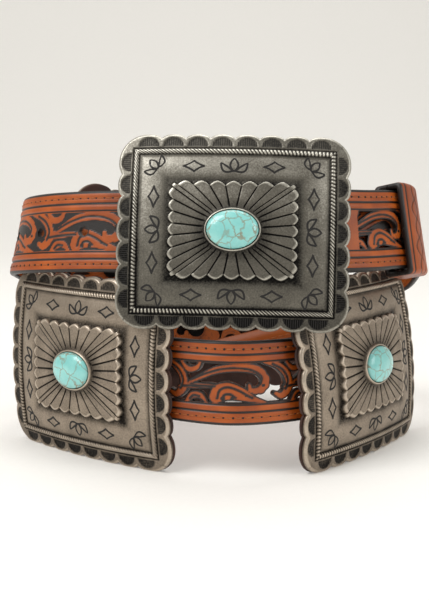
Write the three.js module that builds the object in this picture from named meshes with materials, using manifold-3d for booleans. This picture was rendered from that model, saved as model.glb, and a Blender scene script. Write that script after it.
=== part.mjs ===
// A western concho belt, fastened and stood on its edge in two turns.
// Millimetres, +Z up. The buckle faces -Y and the lower turn stands on z = 0.

import * as THREE from "three";
import { mergeVertices } from "three/addons/utils/BufferGeometryUtils.js";
import Module from "manifold-3d";

const wasm = await Module();
wasm.setup();

// Strap
const strapWidth = 38;
const strapThickness = 3.4;
const scrollField = 18.5;
const scrollRepeat = 49;
const scrollTie = 1.6;
const gapPitch = scrollRepeat / 3;
const gapLengthShare = 0.66;
const shortestPanel = 7;
const punchDiameter = 5;
const punchPitch = 25;
const firstHole = -4;
const lastHole = 2;
const punchPanelShare = 0.6;
const foldLength = 24;
const foldTailInset = 1.6;
const billetFieldEnd = 4.6 * punchPitch;
const billetEndPastKeeper = 12;
const slotSpare = 2.8;

// The two turns of the belt
const coilHalfWidth = 101.5;
const coilHalfDepth = 78;
const coilCentreY = -12;
const upperTurnHeight = 109;
const seatStraight = 40;
const seatFlatShare = 0.72;
const upperLean = 12.5;

// Cast plates: the buckle and the four conchos share one pattern
const ropeHalfWidth = 44;
const ropeHalfHeight = 35.75;
const ropeThickness = 2;
const ropeCorner = 1.6;
const ropeValley = 0.5;
const scallopsAcross = 8;
const scallopsDown = 7;
const scallopFoot = 5.6;
const scallopDepth = 2.4;
const plateThickness = 1.8;
const domeRadiusAcross = 231;
const domeRadiusUp = 193;
const mouldingInset = 7.5;
const mouldingRise = 0.9;
const mouldingCorner = 3;
const panelHalfWidth = 28.6;
const panelHalfHeight = 21.7;
const panelRise = 2.2;
const flutesAcross = 8;
const flutesDown = 8;
const fluteNotch = 2;
const bezelHalfWidth = 12.5;
const bezelHalfHeight = 9.6;
const bezelWall = 0.8;
const bezelRise = 1.6;
const bezelSink = 0.2;
const stoneRise = 3.9;
const stoneSeatDepth = 1.2;
const backingThickness = 1.6;
const supportCorner = 6;
const plateCover = 44;

// Fittings
const hookFromCentre = 21;
const hookDiameter = 3.2;
const hookPastStrap = 2.5;
const solderDepth = 1.2;
const barFromCentre = 26;
const barDiameter = 3.4;
const barEndSpace = 2.4;
const buckleBehindSpace = 18.8;
const buckleAboveStrap = 2;
const strapAboveBuckle = 3.6;
const screwFromCentre = 21;
const screwHeadDiameter = 9;
const postDiameter = 5;
const postHoleSpare = 1;
const screwHeadThickness = 1.6;
const keeperFromBar = 68;
const keeperLength = 22;
const keeperWall = 2.6;
const keeperBulge = 0.9;
const keeperSideShare = 0.8;

// Running gaps between neighbouring pieces
const pieceGap = 0.3;
const backingGap = 0.7;
const barGap = 0.8;
const seatGap = 0.35;
const layerGap = 0.6;
const floorTrim = 0.7;
const joinSpare = 3;
const joinStart = 4;
const joinLength = 18;

const GRID = 1e-3;
const DEG = Math.PI / 180;

// Sizes that follow from the ones above
const plateHalfWidth = ropeHalfWidth + scallopFoot + scallopDepth;
const plateHalfHeight = ropeHalfHeight + scallopFoot + scallopDepth;
const lowerTurnHeight = plateHalfHeight - floorTrim;
const turnRise = upperTurnHeight - lowerTurnHeight;
const halfStrap = strapThickness / 2;

function domeDrop(u, v) {
  return (u * u) / (2 * domeRadiusAcross) + (v * v) / (2 * domeRadiusUp);
}

const plateStandoff = domeDrop(plateHalfWidth, strapWidth / 2) + plateThickness
  + backingThickness + backingGap + seatGap + halfStrap;

// Solids

function geometryFrom(points, triangles) {
  const geometry = new THREE.BufferGeometry();
  geometry.setAttribute("position", new THREE.Float32BufferAttribute(points.flat(), 3));
  geometry.setIndex(triangles.flat());
  return mergeVertices(geometry, GRID);
}

function toManifold(geometry) {
  const bare = geometry.clone();
  bare.deleteAttribute("normal");
  bare.deleteAttribute("uv");
  const merged = mergeVertices(bare, GRID);
  return new wasm.Manifold(new wasm.Mesh({
    numProp: 3,
    vertProperties: new Float32Array(merged.attributes.position.array),
    triVerts: new Uint32Array(merged.index.array),
  }));
}

function fromManifold(solid) {
  const mesh = solid.getMesh();
  const geometry = new THREE.BufferGeometry();
  geometry.setAttribute("position", new THREE.BufferAttribute(mesh.vertProperties, 3));
  geometry.setIndex(new THREE.BufferAttribute(mesh.triVerts, 1));
  return geometry;
}

// Loops are closed rings of [u, v, n] points that run anticlockwise seen from +n.
// Neighbouring loops may have different counts: they are matched by their turn about the middle.
function loopTurns(loop, squash) {
  const turns = loop.map(([u, v]) => {
    const turn = Math.atan2(v / squash, u) / (2 * Math.PI);
    return turn < -1e-9 ? turn + 1 : Math.max(turn, 0);
  });
  const start = turns.indexOf(Math.min(...turns));
  const order = loop.map((_, i) => (start + i) % loop.length);
  return { points: order.map((i) => loop[i]), turns: order.map((i) => turns[i]) };
}

// A stack of loops, closed by a flat or shallow fan at both ends
function loftSolid(loops, squash = plateHalfHeight / plateHalfWidth) {
  const points = [];
  const triangles = [];
  const rings = loops.map((loop) => {
    const { points: ordered, turns } = loopTurns(loop, squash);
    const first = points.length;
    points.push(...ordered);
    return { first, turns, count: ordered.length };
  });
  for (let r = 0; r + 1 < rings.length; r += 1) {
    const a = rings[r];
    const b = rings[r + 1];
    let i = 0;
    let j = 0;
    while (i < a.count || j < b.count) {
      const nextA = i + 1 < a.count ? a.turns[i + 1] : 1 + a.turns[0];
      const nextB = j + 1 < b.count ? b.turns[j + 1] : 1 + b.turns[0];
      const atA = a.first + (i % a.count);
      const atB = b.first + (j % b.count);
      const tie = Math.abs(nextA - nextB) < 1e-9;
      const aFirst = tie ? a.count > b.count : nextA < nextB;
      const stepA = j >= b.count || (i < a.count && aFirst);
      if (stepA) {
        triangles.push([atA, a.first + ((i + 1) % a.count), atB]);
        i += 1;
      } else {
        triangles.push([atA, b.first + ((j + 1) % b.count), atB]);
        j += 1;
      }
    }
  }
  closeRing(points, triangles, rings[0], loops[0], true);
  closeRing(points, triangles, rings[rings.length - 1], loops[loops.length - 1], false);
  return geometryFrom(points, triangles);
}

function closeRing(points, triangles, ring, loop, isBottom) {
  const middle = points.length;
  points.push([0, 1, 2].map((axis) => (
    loop.reduce((sum, p) => sum + p[axis], 0) / loop.length
  )));
  for (let i = 0; i < ring.count; i += 1) {
    const here = ring.first + i;
    const next = ring.first + ((i + 1) % ring.count);
    triangles.push(isBottom ? [next, here, middle] : [here, next, middle]);
  }
}

// Outlines in the plane of a plate, as [u, v] pairs

function roundedRectangle(halfWidth, halfHeight, radius, stepsAcross, stepsDown, cornerSteps) {
  const outline = [];
  const corners = [
    [1, 1, 0], [-1, 1, 90], [-1, -1, 180], [1, -1, 270],
  ];
  corners.forEach(([signU, signV, from], index) => {
    for (let i = 0; i <= cornerSteps; i += 1) {
      const angle = (from + (90 * i) / cornerSteps) * DEG;
      outline.push([
        signU * (halfWidth - radius) + radius * Math.cos(angle),
        signV * (halfHeight - radius) + radius * Math.sin(angle),
      ]);
    }
    const [fromU, fromV] = outline[outline.length - 1];
    const nextCorner = corners[(index + 1) % 4];
    const steps = index % 2 === 0 ? stepsAcross : stepsDown;
    const toU = index % 2 === 0 ? nextCorner[0] * (halfWidth - radius) : fromU;
    const toV = index % 2 === 0 ? fromV : nextCorner[1] * (halfHeight - radius);
    for (let i = 1; i < steps; i += 1) {
      outline.push([fromU + ((toU - fromU) * i) / steps, fromV + ((toV - fromV) * i) / steps]);
    }
  });
  return outline;
}

// One side of the scalloped edge, from its left corner to its right corner:
// [along the side, out from the foot line]. The end scallops run into the round corners.
function scallopedSide(count, halfLength, steps) {
  const pitch = (2 * halfLength) / count;
  const side = [];
  for (let k = 0; k < count; k += 1) {
    const middle = -halfLength + pitch * (k + 0.5);
    const fromStep = k === 0 ? steps / 2 : 0;
    const toStep = k === count - 1 ? steps / 2 : steps - 1;
    for (let i = Math.ceil(fromStep); i <= Math.floor(toStep); i += 1) {
      const angle = Math.PI * (1 - i / steps);
      side.push([middle + (pitch / 2) * Math.cos(angle), scallopDepth * Math.sin(angle)]);
    }
  }
  return side;
}

function scallopedOutline(inset = 0, steps = 3) {
  const halfU = ropeHalfWidth + scallopFoot - inset;
  const halfV = ropeHalfHeight + scallopFoot - inset;
  const top = scallopedSide(scallopsAcross, ropeHalfWidth, steps).reverse();
  const left = scallopedSide(scallopsDown, ropeHalfHeight, steps).reverse();
  const cornerU = top[0][0];
  const cornerV = left[0][0];
  const reachU = halfU + scallopDepth;
  const reachV = halfV + scallopDepth;
  const corner = (signU, signV) => [30, 60].map((turn) => [
    signU * (cornerU + (reachU - cornerU) * Math.cos(turn * DEG)),
    signV * (cornerV + (reachV - cornerV) * Math.sin(turn * DEG)),
  ]);
  return [
    ...corner(1, 1),
    ...top.map(([a, out]) => [a, halfV + out]),
    ...corner(-1, 1).reverse(),
    ...left.map(([a, out]) => [-halfU - out, a]),
    ...corner(-1, -1),
    ...top.map(([a, out]) => [-a, -halfV - out]),
    ...corner(1, -1).reverse(),
    ...left.map(([a, out]) => [halfU + out, -a]),
  ];
}

// The raised panel: flutes end in points, with a notch between neighbours
function flutedOutline() {
  const outline = [];
  const side = (fromU, fromV, toU, toV, count, inU, inV) => {
    for (let k = 0; k < count; k += 1) {
      const at = k / count;
      const between = (k + 0.5) / count;
      outline.push([fromU + (toU - fromU) * at, fromV + (toV - fromV) * at]);
      outline.push([
        fromU + (toU - fromU) * between + inU * fluteNotch,
        fromV + (toV - fromV) * between + inV * fluteNotch,
      ]);
    }
  };
  side(panelHalfWidth, panelHalfHeight, -panelHalfWidth, panelHalfHeight, flutesAcross, 0, -1);
  side(-panelHalfWidth, panelHalfHeight, -panelHalfWidth, -panelHalfHeight, flutesDown, 1, 0);
  side(-panelHalfWidth, -panelHalfHeight, panelHalfWidth, -panelHalfHeight, flutesAcross, 0, 1);
  side(panelHalfWidth, -panelHalfHeight, panelHalfWidth, panelHalfHeight, flutesDown, -1, 0);
  return outline;
}

function ellipseOutline(halfWidth, halfHeight, steps) {
  return Array.from({ length: steps }, (_, i) => {
    const angle = (2 * Math.PI * i) / steps;
    return [halfWidth * Math.cos(angle), halfHeight * Math.sin(angle)];
  });
}

// Lays an outline on the dome, raised by rise
const onDome = (outline, rise) => outline.map(([u, v]) => [u, v, rise - domeDrop(u, v)]);
const level = (outline, n) => outline.map(([u, v]) => [u, v, n]);

// Plates

const backSupport = roundedRectangle(
  plateHalfWidth / 2, plateHalfHeight / 2, supportCorner, 2, 2, 2,
);

function plateGeometry() {
  const ropeFoot = ropeThickness / 2;
  const rope = (out) => roundedRectangle(
    ropeHalfWidth + out, ropeHalfHeight + out, Math.max(1, ropeCorner + out), 6, 5, 1,
  );
  const moulding = roundedRectangle(
    ropeHalfWidth - mouldingInset, ropeHalfHeight - mouldingInset, mouldingCorner, 5, 4, 1,
  );
  const panel = flutedOutline();
  const bezelSteps = 20;
  const bezelOuter = ellipseOutline(bezelHalfWidth, bezelHalfHeight, bezelSteps);
  const bezelInner = ellipseOutline(
    bezelHalfWidth - bezelWall, bezelHalfHeight - bezelWall, bezelSteps,
  );
  return loftSolid([
    onDome(backSupport, -plateThickness),
    onDome(scallopedOutline(), -plateThickness),
    onDome(scallopedOutline(), 0),
    onDome(rope(ropeFoot), -ropeValley),
    onDome(rope(0), ropeThickness / 2),
    onDome(rope(-ropeFoot), -ropeValley),
    onDome(moulding, mouldingRise),
    onDome(panel, 0),
    onDome(panel, panelRise),
    level(bezelOuter, panelRise - bezelSink),
    level(bezelOuter, panelRise + bezelRise),
    level(bezelInner, panelRise + bezelRise),
    level(bezelInner, panelRise + bezelRise - stoneSeatDepth),
  ]);
}

function stoneGeometry() {
  const seat = panelRise + bezelRise - stoneSeatDepth + pieceGap;
  const halfU = bezelHalfWidth - bezelWall - pieceGap;
  const halfV = bezelHalfHeight - bezelWall - pieceGap;
  const profile = [
    { share: 1, height: 0, steps: 12 },
    { share: 1, height: 0.32, steps: 12 },
    { share: 0.82, height: 0.68, steps: 12 },
    { share: 0.5, height: 0.92, steps: 12 },
    { share: 0.15, height: 1, steps: 6 },
  ];
  return loftSolid(profile.map(({ share, height, steps }) => level(
    ellipseOutline(halfU * share, halfV * share, steps), seat + height * stoneRise,
  )));
}

function backingGeometry() {
  const front = -plateThickness - backingGap;
  return loftSolid([
    onDome(backSupport, front - backingThickness),
    onDome(scallopedOutline(), front - backingThickness),
    onDome(scallopedOutline(), front),
    onDome(backSupport, front),
  ]);
}

function cylinderAlong(radius, from, to, sides) {
  const start = new THREE.Vector3(...from);
  const axis = new THREE.Vector3(...to).sub(start);
  const geometry = new THREE.CylinderGeometry(radius, radius, axis.length(), sides);
  const turn = new THREE.Quaternion().setFromUnitVectors(
    new THREE.Vector3(0, 1, 0), axis.clone().normalize(),
  );
  geometry.applyQuaternion(turn);
  const middle = start.addScaledVector(axis, 0.5);
  geometry.translate(middle.x, middle.y, middle.z);
  return geometry;
}

// The route of the strap's middle line, seen from above and going anticlockwise.
// across and away are shares of the coil's half width and half depth, rise is the share of
// the way from the lower turn to the upper one. A row with a seat is straight and holds a plate.
const rows = [
  [0.690, -0.520, 0.990, 1],
  [0.895, -0.245, 0.965, 1],
  [0.985, 0.060, 0.880, 0.9],
  [0.945, 0.390, 0.690, 0.6],
  [0.710, 0.610, 0.480, 0.3],
  [0.100, 0.712, 0.110, 0, "concho_1", 178, -14.3],
  [-0.450, 0.650, 0.015, 0],
  [-0.750, 0.440, 0, 0],
  [-0.935, 0.130, 0, 0],
  [-0.562, -0.465, 0, 0.08, "concho_2", -39.2, 0],
  [0.079, -0.970, 0, 0.3],
  [0.648, -0.383, -0.008, 0.54, "concho_3", 52.7, 0],
  [0.972, 0.240, 0, 0.2],
  [0.965, 0.620, 0.005, 0],
  [0.800, 0.880, 0.020, 0],
  [0.424, 1.020, 0.060, 0],
  [0.100, 1.045, 0.170, 0],
  [-0.394, 0.905, 0.425, 0.2, "concho_4", 200, 18],
  [-0.880, 0.470, 0.700, 0.8],
  [-0.961, 0.205, 0.820, 1],
  [-0.951, -0.090, 0.895, 1],
  [-0.833, -0.337, 0.945, 1],
  [-0.591, -0.526, 0.980, 1],
  [-0.296, -0.628, 0.992, 1],
  [0, -0.645, 0.995, 1],
].map(([across, away, rise, lean, seat, heading, climb]) => (
  { across, away, rise, lean, seat, heading, climb }
));

function rowPoint(row) {
  return new THREE.Vector3(
    row.across * coilHalfWidth,
    coilCentreY + row.away * coilHalfDepth,
    lowerTurnHeight + row.rise * turnRise,
  );
}

// The strap's width direction where it runs along a direction and its top tips in by a lean
function leaningUp(direction, lean) {
  const out = new THREE.Vector3(direction.y, -direction.x, 0).normalize();
  const up = new THREE.Vector3(0, 0, Math.cos(lean * DEG));
  return up.addScaledVector(out, -Math.sin(lean * DEG));
}

function frameAt(point, tangent, upHint) {
  const along = tangent.clone().normalize();
  const up = upHint.clone().addScaledVector(along, -upHint.dot(along)).normalize();
  return { point, along, up, out: new THREE.Vector3().crossVectors(along, up) };
}

function seatDirection({ heading, climb }) {
  return new THREE.Vector3(
    Math.cos(heading * DEG) * Math.cos(climb * DEG),
    Math.sin(heading * DEG) * Math.cos(climb * DEG),
    Math.sin(climb * DEG),
  );
}

// Adds the straight stretches at the seats
function expandRows() {
  const stations = [];
  rows.forEach((row, index) => {
    const point = rowPoint(row);
    const before = rows[Math.max(index - 1, 0)];
    const after = rows[Math.min(index + 1, rows.length - 1)];
    const along = row.seat
      ? seatDirection(row)
      : rowPoint(after).sub(rowPoint(before)).normalize();
    const up = leaningUp(along, row.lean * upperLean);
    if (!row.seat) {
      stations.push({ point, up });
      return;
    }
    [-1, -seatFlatShare, 0, seatFlatShare, 1].forEach((share) => stations.push({
      point: point.clone().addScaledVector(along, share * seatStraight),
      up,
      seat: share === 0 ? row.seat : undefined,
    }));
  });
  return stations;
}

const mainStations = expandRows();

// The buckle hangs before the strap's middle line at the front of the upper turn
const buckleRow = { across: 0.078, away: -0.935, yaw: -2.4, roll: 1 };
const buckleLean = upperLean;

function plateFrame(yaw, lean, roll) {
  const across = new THREE.Vector3(Math.cos(yaw * DEG), Math.sin(yaw * DEG), 0);
  const level0 = new THREE.Vector3(Math.sin(yaw * DEG), -Math.cos(yaw * DEG), 0);
  const normal = level0.clone().multiplyScalar(Math.cos(lean * DEG));
  normal.z = Math.sin(lean * DEG);
  const up = new THREE.Vector3().crossVectors(normal, across);
  const turned = across.clone().multiplyScalar(Math.cos(roll * DEG));
  turned.addScaledVector(up, -Math.sin(roll * DEG));
  return { across: turned, up: new THREE.Vector3().crossVectors(normal, turned), normal };
}

const buckleFrame = plateFrame(buckleRow.yaw, buckleLean, buckleRow.roll);
buckleFrame.centre = new THREE.Vector3(
  buckleRow.across * coilHalfWidth,
  coilCentreY + buckleRow.away * coilHalfDepth,
  upperTurnHeight + buckleAboveStrap,
);

function inBuckle(u, v, depth) {
  return buckleFrame.centre.clone()
    .addScaledVector(buckleFrame.across, u)
    .addScaledVector(buckleFrame.up, v)
    .addScaledVector(buckleFrame.normal, -depth);
}

// The fixed end of the strap folds back round the buckle's bar
const foldRadius = barDiameter / 2 + barGap + halfStrap;
const barDepth = buckleBehindSpace + foldRadius;
const barCentre = inBuckle(barFromCentre, strapAboveBuckle, barDepth);

function foldStations() {
  const square = (vector) => vector.addScaledVector(buckleFrame.up, -vector.dot(buckleFrame.up));
  const reach = square(mainStations[0].point.clone().sub(barCentre));
  const side = new THREE.Vector3().crossVectors(reach, buckleFrame.up).normalize();
  const towards = square(reach.addScaledVector(side, -foldRadius)).normalize();
  const out = new THREE.Vector3().crossVectors(towards, buckleFrame.up).normalize();
  const place = (along, outward) => barCentre.clone()
    .addScaledVector(towards, along)
    .addScaledVector(out, outward);
  const stations = [
    place(foldLength, -foldRadius + foldTailInset),
    place(foldLength / 2, -foldRadius),
    place(foldRadius / 2, -foldRadius),
  ];
  for (let turn = 0; turn <= 180; turn += 30) {
    stations.push(place(-foldRadius * Math.sin(turn * DEG), -foldRadius * Math.cos(turn * DEG)));
  }
  stations.push(place(foldRadius, foldRadius));
  return stations.map((point) => ({ point, up: buckleFrame.up }));
}

// A smooth line through stations, measured by its length
function makeRoute(stations) {
  const curve = new THREE.CatmullRomCurve3(stations.map((s) => s.point), false, "centripetal");
  const segments = stations.length - 1;
  const fine = 24;
  const samples = [];
  let length = 0;
  for (let i = 0; i <= segments * fine; i += 1) {
    const t = i / (segments * fine);
    const point = curve.getPoint(t);
    if (i > 0) {
      length += point.distanceTo(samples[i - 1].point);
    }
    const index = Math.min(Math.floor(i / fine), segments - 1);
    const blend = i / fine - index;
    const ease = blend * blend * (3 - 2 * blend);
    const up = stations[index].up.clone().lerp(stations[index + 1].up, ease);
    samples.push({ t, point, up, length });
  }
  const lengthAt = (station) => samples[station * fine].length;
  const at = (s) => {
    let low = 0;
    let high = samples.length - 1;
    while (high - low > 1) {
      const middle = (low + high) >> 1;
      if (samples[middle].length <= s) {
        low = middle;
      } else {
        high = middle;
      }
    }
    const a = samples[low];
    const b = samples[high];
    const share = (s - a.length) / (b.length - a.length);
    const t = a.t + (b.t - a.t) * share;
    return frameAt(curve.getPoint(t), curve.getTangent(t), a.up.clone().lerp(b.up, share));
  };
  return { at, lengthAt, total: length };
}

// The billet lies inside the fixed end of the strap, so that stretch is worked out from it
const fold = foldStations();
const outerEnd = makeRoute([...fold, ...mainStations]);
const barAt = outerEnd.lengthAt(fold.length - 1);
const keeperAt = barAt + keeperFromBar;
const innerLayer = strapThickness + layerGap;
const billetRows = [
  { past: joinStart, inward: 2 * foldRadius + innerLayer },
  { past: foldLength, inward: 2 * foldRadius + innerLayer - foldTailInset },
  { past: foldLength + joinLength, inward: innerLayer + joinSpare },
  { past: keeperFromBar - keeperLength / 2, inward: innerLayer },
  { past: keeperFromBar, inward: innerLayer },
  { past: keeperFromBar + keeperLength / 2, inward: innerLayer },
  { past: keeperFromBar + keeperLength / 2 + billetEndPastKeeper, inward: innerLayer },
];
const billetStations = billetRows.map(({ past, inward }) => {
  const frame = outerEnd.at(barAt + past);
  return { point: frame.point.clone().addScaledVector(frame.out, -inward), up: frame.up };
});

const allStations = [...fold, ...mainStations, ...billetStations];
const route = makeRoute(allStations);
const seatAt = {};
allStations.forEach((station, index) => {
  if (station.seat) {
    seatAt[station.seat] = route.lengthAt(index);
  }
});

function onStrap(s, w, n) {
  const frame = route.at(s);
  return frame.point.clone().addScaledVector(frame.up, w).addScaledVector(frame.out, n);
}

// Stations are close where the strap bends and wide where it is straight
function bandStations(from, to, bendLimit = 12, reachLimit = 32) {
  const found = [from];
  const flatHalf = seatStraight * seatFlatShare;
  const step = 1.5;
  const wanted = Object.values(seatAt).flatMap((seat) => [seat - flatHalf, seat + flatHalf]);
  wanted.push(keeperAt - keeperLength / 2, keeperAt, keeperAt + keeperLength / 2);
  let last = route.at(from);
  let lastS = from;
  for (let s = from + step; s < to - step; s += step) {
    const frame = route.at(s);
    const bend = Math.max(frame.along.angleTo(last.along), frame.up.angleTo(last.up)) / DEG;
    const passed = wanted.find((place) => place > lastS && place <= s);
    if (passed !== undefined || bend > bendLimit || s - lastS > reachLimit) {
      lastS = passed ?? s;
      found.push(lastS);
      last = route.at(lastS);
    }
  }
  found.push(to);
  return found;
}

const halfWidth = strapWidth / 2;

// A leaf-shaped gap of the pierced scroll. Its points are shares of its half length and of its
// half height, and every second gap is turned round.
const LEAF = [
  { along: -1, across: -0.15 },
  { along: -0.25, across: -1 },
  { along: 0.6, across: -0.8 },
  { along: 1, across: 0.2 },
  { along: 0.25, across: 1 },
  { along: -0.6, across: 0.75 },
];

const hookAt = nearestOnRoute(inBuckle(-hookFromCentre, strapAboveBuckle, barDepth));
const billetFrom = hookAt - billetFieldEnd;
const scrollFrom = barAt + foldLength;

function nearestOnRoute(point) {
  let best = 0;
  let bestDistance = Infinity;
  for (let s = route.total * 0.75; s < route.total; s += 0.5) {
    const distance = route.at(s).point.distanceTo(point);
    if (distance < bestDistance) {
      best = s;
      bestDistance = distance;
    }
  }
  return best;
}

function isCovered(s) {
  return Object.values(seatAt).some((seat) => Math.abs(s - seat) < plateCover);
}

// Places along the strap where its faces are creased: each punched hole lies between two of them
function strapStations() {
  const punched = [];
  const half = (punchPitch * punchPanelShare) / 2;
  for (let k = firstHole; k <= lastHole; k += 1) {
    const hole = hookAt + k * punchPitch;
    punched.push(hole - half, hole + half);
  }
  return [
    ...bandStations(0, punched[0]),
    ...punched.slice(1, -1),
    ...bandStations(punched[punched.length - 1], route.total),
  ];
}

// The gaps of one panel, as outlines of [share of the panel's length, across in millimetres]
function panelGaps(from, to) {
  const length = to - from;
  const middle = (from + to) / 2;
  const holeIndex = Math.round((middle - hookAt) / punchPitch);
  const hole = hookAt + holeIndex * punchPitch;
  if (Math.abs(hole - middle) < 1 && holeIndex >= firstHole && holeIndex <= lastHole) {
    return [ellipseOutline(punchDiameter / 2 / length, punchDiameter / 2, 10)
      .map(([x, w]) => [0.5 + x, w])];
  }
  if (from < scrollFrom || to > billetFrom || isCovered(middle) || length < shortestPanel) {
    return [];
  }
  const columns = Math.max(1, Math.round(length / gapPitch));
  const halfLong = Math.min(length / columns - scrollTie * 2, gapPitch * gapLengthShare) / 2 / length;
  const halfHigh = scrollField / 4 - scrollTie / 2;
  const gaps = [];
  for (let column = 0; column < columns; column += 1) {
    [1, -1].forEach((row) => {
      const turned = (column % 2 === 0 ? 1 : -1) * row;
      const outline = LEAF.map(({ along, across }) => [
        (column + 0.5) / columns + along * halfLong,
        row * (scrollField / 4) + turned * across * halfHigh,
      ]);
      gaps.push(turned > 0 ? outline : outline.reverse());
    });
  }
  return gaps;
}

// The strap is a chain of flat panels, each with its own gaps, and walls all round
function strapGeometry() {
  const stations = strapStations();
  const points = [];
  const triangles = [];
  for (let k = 0; k + 1 < stations.length; k += 1) {
    const [from, to] = [stations[k], stations[k + 1]];
    const contour = [[0, -halfWidth], [1, -halfWidth], [1, halfWidth], [0, halfWidth]];
    const gaps = panelGaps(from, to);
    const outline = [contour, ...gaps].flat();
    const first = points.length;
    const count = outline.length;
    [-halfStrap, halfStrap].forEach((n) => outline.forEach(([share, w]) => {
      points.push(onStrap(from, w, n).lerp(onStrap(to, w, n), share).toArray());
    }));
    const asVectors = (loop) => loop.map(([x, w]) => new THREE.Vector2(x * (to - from), w));
    const faces = THREE.ShapeUtils.triangulateShape(asVectors(contour), gaps.map(asVectors));
    faces.forEach(([a, b, c]) => {
      triangles.push([first + a, first + c, first + b]);
      triangles.push([first + count + a, first + count + b, first + count + c]);
    });
    const wall = (i, j) => {
      triangles.push([first + i, first + j, first + count + j]);
      triangles.push([first + i, first + count + j, first + count + i]);
    };
    wall(0, 1);
    wall(2, 3);
    if (k === 0) {
      wall(3, 0);
    }
    if (k + 2 === stations.length) {
      wall(1, 2);
    }
    let start = contour.length;
    gaps.forEach((gap) => {
      gap.forEach((_, i) => wall(start + ((i + 1) % gap.length), start + i));
      start += gap.length;
    });
  }
  return geometryFrom(points, triangles);
}

// The keeper is a leather loop round both layers
function keeperGeometry() {
  const stations = [-0.5, -0.25, 0, 0.25, 0.5].map((share) => keeperAt + share * keeperLength);
  const inside = roundedRectangle(
    halfWidth + slotSpare / 2, (strapThickness + innerLayer + slotSpare) / 2, 1, 1, 1, 1,
  );
  const middle = -innerLayer / 2;
  const points = [];
  const triangles = [];
  const outlineAt = (share) => inside.map(([w, n]) => {
    const bulge = share * (keeperWall + (n > 0 ? keeperBulge : 0));
    const spread = share * keeperWall * keeperSideShare;
    return [w + Math.sign(w) * spread, middle + n + Math.sign(n) * bulge];
  });
  const count = inside.length;
  stations.forEach((s) => {
    [0, 1].forEach((share) => {
      outlineAt(share).forEach(([w, n]) => points.push(outerOnStrap(s, w, n)));
    });
  });
  const ringSize = 2 * count;
  const quad = (a, b, c, d) => triangles.push([a, b, c], [a, c, d]);
  for (let r = 0; r < stations.length; r += 1) {
    for (let i = 0; i < count; i += 1) {
      const j = (i + 1) % count;
      const base = r * ringSize;
      if (r + 1 < stations.length) {
        const next = base + ringSize;
        quad(base + count + i, base + count + j, next + count + j, next + count + i);
        quad(base + j, base + i, next + i, next + j);
      }
      if (r === 0) {
        quad(base + i, base + j, base + count + j, base + count + i);
      }
      if (r === stations.length - 1) {
        quad(base + j, base + i, base + count + i, base + count + j);
      }
    }
  }
  return geometryFrom(points, triangles);
}

function outerOnStrap(s, w, n) {
  const frame = outerEnd.at(s);
  return frame.point.clone().addScaledVector(frame.up, w).addScaledVector(frame.out, n).toArray();
}

// Materials
const looks = {
  strap: { color: 0xb8552a, roughness: 0.55, metalness: 0 },
  keeper: { color: 0xb04a1e, roughness: 0.5, metalness: 0 },
  buckle: { color: 0x86817a, roughness: 0.42, metalness: 0.9 },
  concho: { color: 0x958a7b, roughness: 0.45, metalness: 0.9 },
  stone: { color: 0x7fd6d4, roughness: 0.25, metalness: 0 },
  backing: { color: 0x4a3029, roughness: 0.8, metalness: 0 },
  screw: { color: 0x22201f, roughness: 0.4, metalness: 0.8 },
};

const group = new THREE.Group();

function addMesh(name, geometry, look, parent = group) {
  const mesh = new THREE.Mesh(geometry, new THREE.MeshStandardMaterial(look));
  mesh.name = name;
  parent.add(mesh);
  return mesh;
}

function placed(frame) {
  const holder = new THREE.Group();
  const basis = new THREE.Matrix4().makeBasis(frame.across, frame.up, frame.normal);
  holder.quaternion.setFromRotationMatrix(basis);
  holder.position.copy(frame.centre);
  group.add(holder);
  return holder;
}

// A flat where a plate stands on the floor
function standOnFloor(geometry, holder) {
  const size = 6 * coilHalfWidth;
  const floor = new THREE.BoxGeometry(size, size, plateHalfHeight);
  floor.translate(0, 0, -plateHalfHeight / 2);
  holder.updateMatrixWorld(true);
  floor.applyMatrix4(holder.matrixWorld.clone().invert());
  return fromManifold(toManifold(geometry).subtract(toManifold(floor)));
}

addMesh("strap", strapGeometry(), looks.strap);
addMesh("keeper", keeperGeometry(), looks.keeper);

// The hook post and the bar's loop are soldered to the buckle's back
function buckleGeometry() {
  const backAt = (u, v) => -plateThickness - domeDrop(u, v) + solderDepth;
  const hook = cylinderAlong(
    hookDiameter / 2,
    [hookPlace.u, hookPlace.v, backAt(hookPlace.u, hookPlace.v)],
    [hookPlace.u, hookPlace.v, -hookPlace.depth],
    8,
  );
  const half = halfWidth + barEndSpace;
  const leg = (sign) => cylinderAlong(
    barDiameter / 2,
    [barFromCentre, strapAboveBuckle + sign * half, backAt(barFromCentre, half)],
    [barFromCentre, strapAboveBuckle + sign * half, -barDepth],
    8,
  );
  const bar = cylinderAlong(
    barDiameter / 2,
    [barFromCentre, strapAboveBuckle - half - barDiameter / 2, -barDepth],
    [barFromCentre, strapAboveBuckle + half + barDiameter / 2, -barDepth],
    8,
  );
  let buckle = toManifold(plateGeometry());
  [hook, leg(1), leg(-1), bar].forEach((piece) => {
    buckle = buckle.add(toManifold(piece));
  });
  return fromManifold(buckle);
}

const hookOffset = route.at(hookAt).point.sub(buckleFrame.centre);
const hookPlace = {
  u: hookOffset.dot(buckleFrame.across),
  v: hookOffset.dot(buckleFrame.up),
  depth: halfStrap + hookPastStrap - hookOffset.dot(buckleFrame.normal),
};

const buckleHolder = placed(buckleFrame);
addMesh("buckle_plate", buckleGeometry(), looks.buckle, buckleHolder);
addMesh("buckle_stone", stoneGeometry(), looks.stone, buckleHolder);

// A concho's two threaded posts go through its backing and stop at the strap
function conchoPosts(radius, toDepth) {
  return [-1, 1].map((side) => toManifold(cylinderAlong(
    radius,
    [side * screwFromCentre, 0, -plateThickness / 2 - domeDrop(screwFromCentre, 0)],
    [side * screwFromCentre, 0, -toDepth],
    8,
  )));
}

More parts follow.
